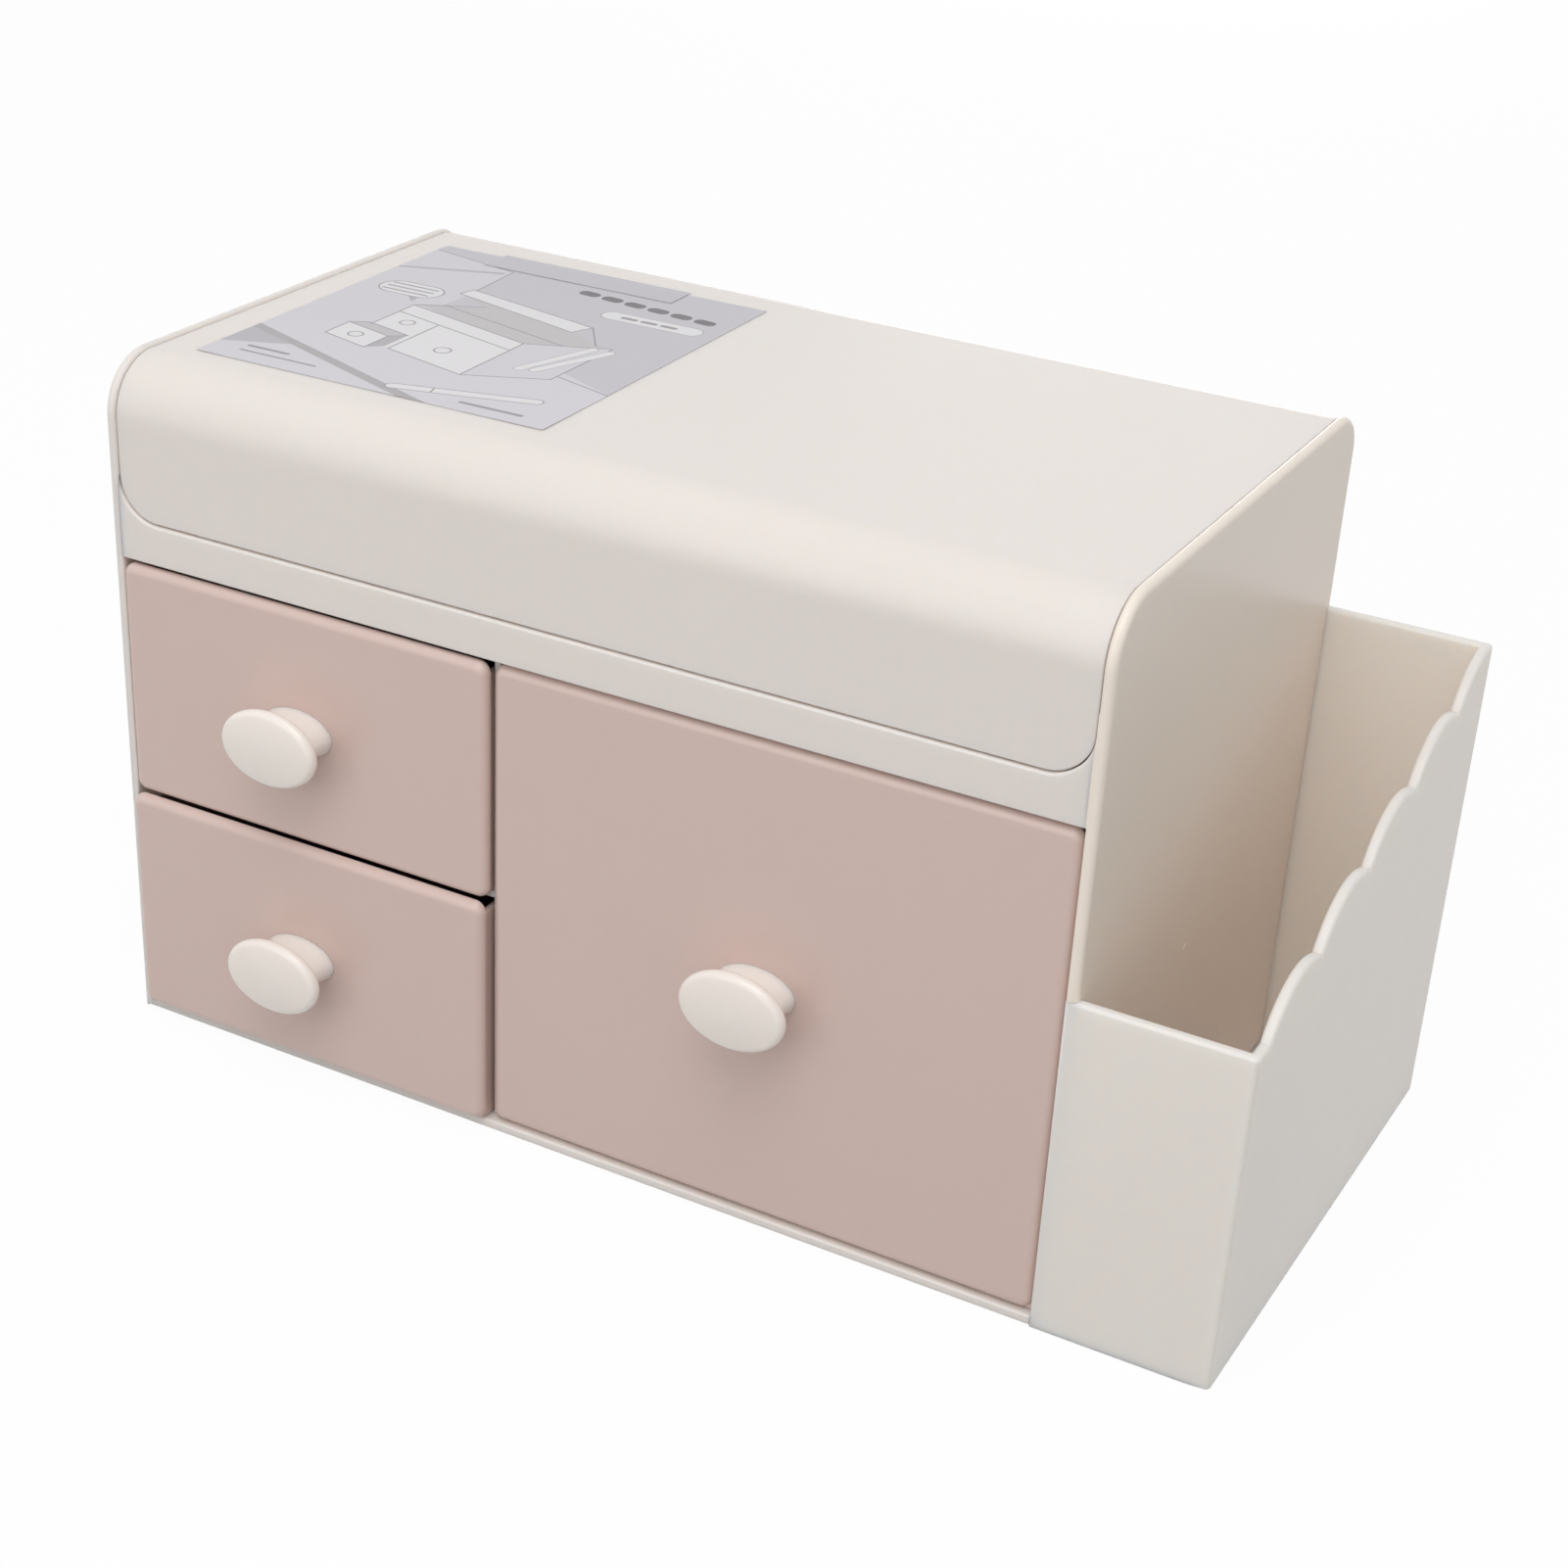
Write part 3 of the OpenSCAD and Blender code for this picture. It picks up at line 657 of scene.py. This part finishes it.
def shapeEar(name, x, outward):   # ear under the lid's end, with its hinge pin
    size = lidSizes
    y, z, r = shell["hingeY"], shell["hingeZ"], size["earRadius"]
    middleZ = size["top"] - size["thick"] / 2
    rollMiddle = size["rollRadius"] - size["thick"] / 2
    end = x - size["earInset"] * outward
    ear = startLine(name, (end, y - r, middleZ))
    lineTo(ear, (end, y - r, z))
    arcTo((end, y, z), (1, 0, 0), -180, 32)
    lineTo(ear, (end, y + r, z + math.sqrt(rollMiddle ** 2 - r ** 2)))
    lineTo(ear, (end, y, middleZ))
    closeLine()
    bpy.ops.mesh.select_all(action="SELECT")
    pull((-(size["thick"] - size["earInset"]) * outward, 0, 0))
    bpy.ops.object.mode_set(mode="OBJECT")
    faceOut(ear)
    tip = x + size["pinOut"] * outward
    pin = rod("pin", (x - size["pinRoot"] * outward, y, z), (tip, y, z), size["pinRadius"], 40)
    roundEdges(pin, lambda e: within(e, (tip, None, None), (tip, None, None)), size["pinTip"], 3)
    return combine(ear, pin, "UNION")


def shapeLid():
    size = lidSizes
    piece = shapeLidSheet()
    lowCorner = lambda e: runsAlong(e, 1) and within(e, anywhere, (None, -60, size["bottom"]))
    roundEdges(piece, lowCorner, size["corner"], 22)
    atDepth = lambda e, depth: sharp(e, 50) and all(abs(lidDepth(p) - depth) < 0.1 for p in ends(e))
    roundEdges(piece, lambda e: atDepth(e, 0), size["outerEdge"], 5)
    roundEdges(piece, lambda e: atDepth(e, size["thick"]), size["innerEdge"], 3)
    combine(piece, shapeEar("ear", size["left"], -1), "UNION")
    combine(piece, shapeEar("ear", size["right"], 1), "UNION")
    return piece


lidPiece = shapeLid()
smooth(lidPiece)
report(lidPiece)
dress(lidPiece, "lid", "body_plastic", looks["body"], "lid")
print("stage: lid shaped")

# Drawers: each front and the box behind it are one piece
drawerSizes = {
    "front": -69.6, "frontBack": -67.0, "back": 66.8, "wall": 1.8, "corner": 2.8, "frontEdge": 2.2, "backEdge": 0.3,
    "boxCorner": 2.5, "boxFoot": 0.8, "boxLap": 0.6, "innerRound": 1.2, "innerFoot": 0.96, "rimEdge": 0.55, "hole": 1.6,
}
drawerRows = {   # left, right, bottom and top of the front, then of the box, and how far the drawer stands open
    "upper_drawer": ((-140.15, -39.2, 62.1, 120.75), (-139.8, -40.1, 62.95, 117.5), 1.4),
    "lower_drawer": ((-140.15, -39.2, 3.2, 61.7), (-139.8, -40.1, 2.9, 58.35), 3.3),
    "large_drawer": ((-38.2, 101.0, 3.2, 120.75), (-37.3, 100.8, 2.9, 117.5), 0.0),
}
knobSizes = {
    "halfWidth": 13.0, "halfHeight": 9.28, "out": 13.0, "under": 8.64, "rimRadius": 1.75, "rimEnd": 74,
    "footWidth": 9.8, "footHeight": 5.9, "flare": 1.1, "flareCurve": 2.2, "sides": 112, "hole": 1.3, "holeDepth": 7.3,
    "stemSteps": 8, "rimSteps": 14, "crownSteps": 13,
    "left": 1.1, "down": 0.8,   # from the middle of the drawer front
}


def knobPlace(face):   # the knob's middle in x and z
    return (face[0] + face[1]) / 2 - knobSizes["left"], (face[2] + face[3]) / 2 - knobSizes["down"]


def shapeDrawer(name, face, box):
    size = drawerSizes
    front, frontBack, back, wall = size["front"], size["frontBack"], size["back"], size["wall"]
    piece = block(name, (face[0], front, face[2]), (face[1], frontBack, face[3]))
    roundEdges(piece, lambda e: runsAlong(e, 1), size["corner"], 9)
    roundEdges(piece, lambda e: sharp(e) and within(e, anywhere, (None, front, None)), size["frontEdge"], 7)
    roundEdges(piece, lambda e: sharp(e) and within(e, (None, frontBack, None), anywhere), size["backEdge"], 2)
    tray = block("tray", (box[0], frontBack - size["boxLap"], box[2]), (box[1], back, box[3]))
    roundEdges(tray, lambda e: runsAlong(e, 2) and within(e, (None, back, None), anywhere), size["boxCorner"], 6)
    foot = lambda e: sharp(e) and within(e, (None, front + size["frontEdge"], None), (None, None, box[2]))
    roundEdges(tray, foot, size["boxFoot"], 3)
    floor = box[2] + wall
    hollow = block("hollow", (box[0] + wall, front - 6, floor), (box[1] - wall, back - wall, box[3] + 9))
    roundEdges(hollow, lambda e: runsAlong(e, 2) and within(e, (None, 50, None), anywhere), size["innerRound"], 4)
    innerFoot = lambda e: sharp(e) and within(e, anywhere, (None, None, floor))
    roundEdges(hollow, innerFoot, size["innerFoot"], 4)
    combine(tray, hollow, "DIFFERENCE")
    rim = lambda e: turnedOut(e) and within(e, (None, None, box[3]), anywhere)
    roundEdges(tray, rim, size["rimEdge"], 4)
    combine(piece, tray, "UNION")
    x, z = knobPlace(face)
    hole = rod("hole", (x, front - over, z), (x, frontBack + over, z), size["hole"], 32)
    return combine(piece, hole, "DIFFERENCE")


for name, (face, box, ajar) in drawerRows.items():
    piece = shapeDrawer(name + "_dressed", face, box)
    shift(piece, (0, -ajar, 0))
    smooth(piece)
    report(piece)
    dress(piece, name, "drawer_plastic", looks["drawer"], name)
print("stage: drawers shaped")

# Knobs, and the screws that hold them from inside the drawers
screwSizes = {
    "head": 3.0, "headHeight": 1.6, "shank": 1.25, "bite": 7.0, "headEdge": 0.9,
    "slotWidth": 0.75, "slotLength": 3.4, "slotDepth": 0.9,
}


def knobRings():   # half width, half height and distance from the drawer front, from the foot to the crown
    size = knobSizes
    under, r = size["under"], size["rimRadius"]
    stemSteps, rimSteps, crownSteps = size["stemSteps"], size["rimSteps"], size["crownSteps"]
    rings = []
    for i in range(stemSteps + 1):
        t = i / stemSteps
        draw = size["flare"] * (1 - (1 - t) ** size["flareCurve"])
        rings.append((size["footWidth"] - draw, size["footHeight"] - draw, under * t * 0.95))
    stemWidth, stemHeight = rings[-1][:2]
    for grow, share in ((0.25, 0.985), (0.8, 1.0)):   # the small hollow where the stem meets the head
        rings.append((stemWidth + grow, stemHeight + grow, under * share))
    for i in range(rimSteps + 1):
        angle = math.radians(-90 + (90 + size["rimEnd"]) * i / rimSteps)
        inset = r * (1 - math.cos(angle))
        rings.append((size["halfWidth"] - inset, size["halfHeight"] - inset, under + r + r * math.sin(angle)))
    width, height, rise = rings[-1]
    for i in range(1, crownSteps):
        share = math.cos(math.pi / 2 * i / crownSteps)
        rings.append((width * share, height * share, rise + (size["out"] - rise) * (1 - share * share)))
    return rings


def shapeKnob(name, x, z):
    size = knobSizes
    front = drawerSizes["front"]
    centre = Vector((x, front, z)) * mm
    rings = knobRings()
    clearSelection()
    bpy.ops.mesh.primitive_circle_add(
        vertices=size["sides"], radius=1, fill_type="NGON", location=centre, rotation=(math.pi / 2, 0, 0))
    piece = bpy.context.object
    piece.name = name
    width, height, out = rings[0]
    piece.scale = (width * mm, height * mm, 1)
    settle(piece)
    pick(piece, "FACE", lambda f: True)
    for nextWidth, nextHeight, nextOut in rings[1:]:
        pull((0, out - nextOut, 0))
        bpy.ops.transform.resize(value=(nextWidth / width, 1, nextHeight / height), center_override=centre)
        width, height, out = nextWidth, nextHeight, nextOut
    bpy.ops.object.mode_set(mode="OBJECT")
    faceOut(piece)
    hole = rod("hole", (x, front + 4, z), (x, front - size["holeDepth"], z), size["hole"], 28)
    return combine(piece, hole, "DIFFERENCE")


def shapeScrew(name, x, z):
    size = screwSizes
    seat = drawerSizes["frontBack"]
    top = seat + size["headHeight"]
    piece = rod(name, (x, seat, z), (x, top, z), size["head"], 48)
    roundEdges(piece, lambda e: sharp(e) and within(e, (None, top, None), anywhere), size["headEdge"], 5)
    tip = drawerSizes["front"] - size["bite"]
    shank = rod("shank", (x, seat + size["headHeight"] / 2, z), (x, tip, z), size["shank"], 28)
    combine(piece, shank, "UNION")
    width, length, depth = size["slotWidth"] / 2, size["slotLength"] / 2, size["slotDepth"]
    slot = block("slot", (x - width, top - depth, z - length), (x + width, top + 3, z + length))
    across = block("slot", (x - length, top - depth * 0.98, z - width), (x + length, top + 4, z + width))
    combine(slot, across, "UNION")   # the two differ a little in depth so that no faces coincide
    return combine(piece, slot, "DIFFERENCE")


firstKnob = shapeKnob("knob", 0, 0)
firstScrew = shapeScrew("knob_screw", 0, 0)
for piece in (firstKnob, firstScrew):
    smooth(piece, 50)
    report(piece)
for name, (face, box, ajar) in drawerRows.items():
    x, z = knobPlace(face)
    knobName = name.replace("drawer", "knob")
    for piece, tail, slotName, look in (
            (firstKnob, "", "knob_plastic", "knob"), (firstScrew, "_screw", "screw_steel", "steel")):
        mine = copyOf(piece, knobName + tail + "_dressed")
        shift(mine, (x, -ajar, z))
        dress(mine, name, slotName, looks[look], knobName + tail)
for piece in (firstKnob, firstScrew):
    bpy.data.objects.remove(piece)
print("stage: knobs and screws shaped")

# Printed sheet on the lid, and its strip of tape
sheetSizes = {
    "width": 92.5, "length": 102.5, "thick": 0.10, "x": -85.3, "y": 0.4, "turn": 0.9,
    "tapeLength": 54.0, "tapeWidth": 10.5, "tapeShift": 2.7, "tapeLap": 2.0, "tapeThick": 0.05, "tapeStep": 0.2,
    "lift": 0.02, "cornerLift": 0.10, "edgeLift": 0.05, "wave": 0.02,
}
halfW, halfL = sheetSizes["width"] / 2, sheetSizes["length"] / 2
printed = {   # drawn in mm from the sheet's back left corner, x to the right and y to the front
    "ground": (196, 193, 200), "wall": (211, 208, 215), "desk": (213, 210, 217), "edge": (168, 164, 168),
    "under": (182, 178, 185), "white": (229, 227, 229), "inside": (192, 189, 191), "line": (142, 138, 144),
    "dark": (86, 82, 87), "soft": (172, 169, 174), "rough": 0.42, "lineWidth": 0.42, "mottle": 0.16,
}


def toSheet(x, y):   # to the sheet's own axes, from its middle
    return Vector((x - halfW, halfL - y, 0))


def dot(tree, wire, direction):
    return add(tree, "ShaderNodeVectorMath", {"operation": "DOT_PRODUCT"}, {0: wire, 1: tuple(direction)}, "Value")


def stroke(tree, paper, start, end, width):
    start, end = toSheet(*start), toSheet(*end)
    run = end - start
    ahead = run.normalized()
    fromStart = add(tree, "ShaderNodeVectorMath", {"operation": "SUBTRACT"}, {0: paper, 1: tuple(start)})
    along = add(tree, "ShaderNodeClamp", {}, {"Value": dot(tree, fromStart, ahead), "Min": 0.0, "Max": run.length})
    foot = add(tree, "ShaderNodeVectorMath", {"operation": "SCALE"}, {0: tuple(ahead), "Scale": along})
    return add(tree, "ShaderNodeVectorMath", {"operation": "DISTANCE"}, {0: fromStart, 1: foot}, "Value") < width / 2


def outline(tree, paper, corners, closed=True):
    corners = list(corners) + ([corners[0]] if closed else [])
    lines = None
    for start, end in zip(corners, corners[1:]):
        line = stroke(tree, paper, start, end, printed["lineWidth"])
        lines = line if lines is None else lines.math("MAXIMUM", line)
    return lines


def patch(tree, paper, corners):   # filled shape with corners in order and no hollow corner
    corners = [toSheet(*corner) for corner in corners]
    middle = sum(corners, Vector()) / len(corners)
    inside = None
    for start, end in zip(corners, corners[1:] + corners[:1]):
        inward = Vector((start.y - end.y, end.x - start.x, 0)).normalized()
        if inward.dot(middle - start) < 0:
            inward.negate()
        half = dot(tree, paper, inward) > inward.dot(start)
        inside = half if inside is None else inside * half
    return inside


def ring(tree, paper, centre, radius):
    middle = tuple(toSheet(*centre))
    away = add(tree, "ShaderNodeVectorMath", {"operation": "DISTANCE"}, {0: paper, 1: middle}, "Value")
    return (away - radius).math("ABSOLUTE") < printed["lineWidth"] / 2


def paperLook():
    look, tree, shader, place = newLook("printedPaper")
    size = sheetSizes
    mapped = add(tree, "ShaderNodeMapping", {"vector_type": "TEXTURE"}, {
        "Vector": place, "Location": (size["x"] * mm, size["y"] * mm, 0),
        "Rotation": (0, 0, math.radians(size["turn"])), "Scale": (mm, mm, mm)})
    paper = add(tree, "ShaderNodeVectorMath", {"operation": "MULTIPLY"}, {0: mapped, 1: (1, 1, 0)})
    tone = blendColours(tree, 0.0, linear(printed["ground"]), linear(printed["wall"]))
    fills = [   # colour and corners, from the lowest layer up
        ("wall", ((-1, 4.2), (26, 9.6), (27, 28), (27, 62), (-1, 76))),
        ("desk", ((-1, 76.5), (22, 60.5), (60, 60.5), (94, 76), (94, 104), (62, 104), (-1, 78))),
        ("edge", ((-1, 78), (66, 104), (58, 104), (-1, 81))),
        ("under", ((-1, 81), (15, 87), (-1, 94.5))),
        ("desk", ((-1, 94.5), (15, 87), (58, 104), (-1, 104))),
        ("inside", ((21, 45), (36, 37), (76, 47), (58, 56))),
        ("inside", ((27, 32.5), (63, 41.5), (72, 47), (36, 38))),
        ("white", ((26, 27.5), (65, 36), (62.5, 41.8), (25, 32))),
        ("white", ((21, 46), (58, 55.5), (58, 82.5), (21, 73))),
        ("wall", ((58, 55.5), (77, 47), (76.5, 73.5), (58, 82.5))),
        ("inside", ((16, 65.5), (20, 63), (33, 66.2), (29.5, 69.2))),
        ("white", ((16, 65.5), (29.5, 69.2), (29.5, 79), (16, 75.2))),
        ("soft", ((29.5, 69.2), (33, 66.2), (33, 75.5), (29.5, 79))),
        ("soft", ((14.5, 39.5), (18.5, 39.5), (19, 44.2))),
    ]
    for colour, corners in fills:
        tone = blendColours(tree, patch(tree, paper, corners), tone, linear(printed[colour]))
    lines = [
        outline(tree, paper, ((0, 4.2), (26, 9.6), (27, 28)), False),
        outline(tree, paper, ((77, 71), (92.5, 75.6)), False),
        outline(tree, paper, ((26, 27.5), (65, 36), (62.5, 41.8), (25, 32))),
        outline(tree, paper, ((65, 36), (72.5, 47.2)), False),
        outline(tree, paper, ((21, 46), (58, 55.5), (58, 82.5), (35, 76.6)), False),
        outline(tree, paper, ((58, 55.5), (77, 47), (76.5, 73.5), (58, 82.5)), False),
        outline(tree, paper, ((21, 64), (21, 46), (36, 37.5)), False),
        outline(tree, paper, ((21, 52), (58, 61.5)), False),
        outline(tree, paper, ((34.5, 55.5), (34.5, 76.5)), False),
        outline(tree, paper, ((27, 41.8), (66, 51.6)), False),
        outline(tree, paper, ((16, 65.5), (29.5, 69.2), (29.5, 79), (16, 75.2))),
        outline(tree, paper, ((16, 65.5), (20, 63), (33, 66.2), (29.5, 69.2)), False),
        ring(tree, paper, (27.5, 58.3), 1.8), ring(tree, paper, (22.5, 72.2), 1.8),
        ring(tree, paper, (45.5, 70.5), 2.0),
    ]
    for line in lines:
        tone = blendColours(tree, line, tone, linear(printed["line"]))
    bars = [   # colour, start, end and width
        ("line", (9.5, 36), (17.5, 36), 9.6), ("white", (9.5, 36), (17.5, 36), 8.8),
        ("soft", (64, 25), (85.5, 25), 6.2), ("white", (64, 25), (85.5, 25), 5.4),
        ("soft", (66.5, 71), (73.5, 50), 2.9), ("white", (66.5, 71), (73.5, 50), 2.3),
        ("soft", (70, 70), (78, 50), 2.9), ("white", (70, 70), (78, 50), 2.3),
        ("line", (50, 97.4), (82, 88.2), 3.5), ("white", (50, 97.4), (82, 88.2), 2.8),
        ("line", (58.6, 93.2), (59.4, 96.2), 0.4), ("soft", (-2, 22.5), (24.5, 12), 1.3),
    ]
    bars += [("line", (6.8, y), (19.6, y), 0.7) for y in (33.6, 36.0, 38.4)]
    titleStarts = (49.5, 56.3, 63.1, 69.9, 76.7, 83.5)
    bars += [("dark", (x, 8.5 + 0.1 * x), (x + 2.4, 8.7 + 0.1 * x), 3.4) for x in titleStarts]
    bars += [("line", (x, 25.1), (x + 3.2, 25.1), 1.5) for x in (67.0, 72.4, 77.8)]
    bars += [("line", (8, 93.2), (18.5, 93.2), 1.2), ("line", (8, 96.6), (28.5, 96.6), 0.8)]
    bars += [("line", (68.5, 97.8), (84, 97.8), 1.2)]
    for colour, start, end, width in bars:
        tone = blendColours(tree, stroke(tree, paper, start, end, width), tone, linear(printed[colour]))
    mottle = noise(tree, place, 260.0, 3.0)
    tone = blendColours(tree, mottle * printed["mottle"], tone, linear(printed["white"]))
    plug(tree, tone, shader, "Base Color")
    plug(tree, mottle * 0.1 + (printed["rough"] - 0.05), shader, "Roughness")
    bump = add(tree, "ShaderNodeBump", {}, {"Strength": 1.0, "Distance": 0.004 * mm, "Height": mottle})
    plug(tree, bump, shader, "Normal")
    return look


def shapeLeaf(name, low, high, z, thick, rows, lift):   # low and high are corners in the sheet's own axes
    size = sheetSizes
    clearSelection()
    bpy.ops.mesh.primitive_grid_add(x_subdivisions=rows[0], y_subdivisions=rows[1], size=1)
    piece = bpy.context.object
    piece.name = name
    low, high = Vector((*low, 0)), Vector((*high, 0))
    piece.scale = ((high.x - low.x) * mm, (high.y - low.y) * mm, 1)
    piece.location = (low + high) / 2 * mm
    settle(piece)
    for vert in piece.data.vertices:
        vert.co.z = (z + lift(vert.co.x / mm, vert.co.y / mm)) * mm
    piece.rotation_euler.z = math.radians(size["turn"])
    piece.location = Vector((size["x"], size["y"], 0)) * mm
    settle(piece)
    thicken = piece.modifiers.new("thicken", "SOLIDIFY")
    thicken.thickness = thick * mm
    thicken.offset = 1
    makeActive(piece)
    bpy.ops.object.modifier_apply(modifier=thicken.name)
    return piece


def paperLift(x, y):   # the free corners of the sheet stand up a hair
    size = sheetSizes
    aside, ahead = abs(x) / halfW, max(0, -y / halfL)
    corners = size["cornerLift"] * aside ** 6 * ahead ** 3
    return size["lift"] + corners + size["edgeLift"] * ahead ** 8 + size["wave"] * math.sin(x * 0.11 + 1) ** 2


def tapeLift(x, y):   # the tape steps down from the sheet onto the lid
    return max(0.0, min(1.0, (halfL + 0.5 - y) / 0.6)) * sheetSizes["tapeStep"]


sheetPiece = shapeLeaf("lid_sheet_dressed", (-halfW, -halfL), (halfW, halfL),
                       lidSizes["top"], sheetSizes["thick"], (48, 52), paperLift)
tapeLeft = -sheetSizes["tapeShift"] - sheetSizes["tapeLength"] / 2
tapeBack = halfL + sheetSizes["tapeLap"]
tapePiece = shapeLeaf("sheet_tape_dressed", (tapeLeft, tapeBack - sheetSizes["tapeWidth"]),
                      (tapeLeft + sheetSizes["tapeLength"], tapeBack),
                      lidSizes["top"] + sheetSizes["lift"], sheetSizes["tapeThick"], (30, 42), tapeLift)
smooth(sheetPiece)
smooth(tapePiece)
dress(sheetPiece, "lid", "sheet_paper", paperLook(), "lid_sheet")
dress(tapePiece, "lid", "clear_tape", looks["tape"], "sheet_tape")
print("stage: sheet laid")

# Camera in metres and degrees, lamps in watts and metres
camera = {
    "place": (0.27275, -0.53565, 0.37623), "azimuth": 28.157, "elevation": 28.674, "roll": 2.717,
    "lens": 64.775, "shiftX": 0.03294, "shiftY": 0.0591,
}
light = {
    "worldStrength": 0.53, "topPower": 7.4, "topSize": 0.9, "topPlace": (0.2, -0.65, 1.4),
    "frontPower": 5.0, "frontSize": 1.2, "frontPlace": (-0.3, -1.5, 0.75),
    "backPower": 1.2, "backSize": 0.4, "backPlace": (-0.5, 1.5, 0.23), "aim": (0, 0, 0.08),
    "floorSeen": 0.95,   # how much of the floor the camera sees as plain white, the rest shows the shadow
    "floorTones": ((0.43, 0.425, 0.42, 1), (0.45, 0.445, 0.44, 1)), "floorInView": (0.95, 0.95, 0.95, 1),
}


def placeCamera():
    azimuth, elevation, roll = (math.radians(camera[key]) for key in ("azimuth", "elevation", "roll"))
    flat = math.cos(elevation)
    ahead = Vector((-math.sin(azimuth) * flat, math.cos(azimuth) * flat, -math.sin(elevation)))
    level = ahead.cross(Vector((0, 0, 1))).normalized()
    above = level.cross(ahead)
    right = math.cos(roll) * level + math.sin(roll) * above
    up = -math.sin(roll) * level + math.cos(roll) * above
    eye = bpy.data.objects.new("studioCamera", bpy.data.cameras.new("studioCamera"))
    bpy.context.scene.collection.objects.link(eye)
    eye.matrix_world = Matrix.Translation(camera["place"]) @ Matrix((right, up, -ahead)).transposed().to_4x4()
    eye.data.lens = camera["lens"]
    eye.data.sensor_width = 36
    eye.data.shift_x = camera["shiftX"]
    eye.data.shift_y = camera["shiftY"]
    eye.data.clip_start = 0.01
    bpy.context.scene.camera = eye


def softbox(name, place, size, power):
    clearSelection()
    bpy.ops.object.light_add(type="AREA", location=place)
    lamp = bpy.context.object
    lamp.name = name
    lamp.data.shape = "SQUARE"
    lamp.data.size = size
    lamp.data.energy = power
    lamp.rotation_euler = (Vector(light["aim"]) - Vector(place)).to_track_quat("-Z", "Y").to_euler()


def inView(tree):   # 1 for what the camera sees, also in gloss and through glass
    direct, gloss, glass = (add(tree, "ShaderNodeLightPath", {}, {}, name) for name in (
        "Is Camera Ray", "Is Glossy Ray", "Is Transmission Ray"))
    return direct.math("MAXIMUM", gloss).math("MAXIMUM", glass)


def layFloor():
    clearSelection()
    bpy.ops.mesh.primitive_plane_add(size=9, location=(0, 1, -0.0004))
    floor = bpy.context.object
    floor.name = "studioFloor"
    look, tree, shader, place = newLook("studioFloor")
    tone = blendColours(tree, noise(tree, place, 3.0), *light["floorTones"])
    plug(tree, blendColours(tree, inView(tree), tone, light["floorInView"]), shader, "Base Color")
    shader.inputs["Roughness"].default_value = 0.9
    glow = add(tree, "ShaderNodeEmission", {}, {"Color": (1, 1, 1, 1), "Strength": 1.0})
    mixed = add(tree, "ShaderNodeMixShader", {}, {
        0: inView(tree) * light["floorSeen"], 1: Wire(tree, shader.outputs[0]), 2: glow})
    tree.links.new(mixed.socket, tree.nodes["Material Output"].inputs["Surface"])
    floor.data.materials.append(look)


def setWorld():
    world = bpy.data.worlds.new("studio")
    bpy.context.scene.world = world
    world.use_nodes = True
    tree = world.node_tree
    strength = inView(tree) * (1 - light["worldStrength"]) + light["worldStrength"]
    background = tree.nodes["Background"]
    background.inputs["Color"].default_value = (1, 1, 1, 1)
    tree.links.new(strength.socket, background.inputs["Strength"])


placeCamera()
for side in ("top", "front", "back"):
    softbox(side + "Softbox", light[side + "Place"], light[side + "Size"], light[side + "Power"])
layFloor()
setWorld()
bpy.context.scene.view_settings.view_transform = "Standard"
print("stage: studio set")
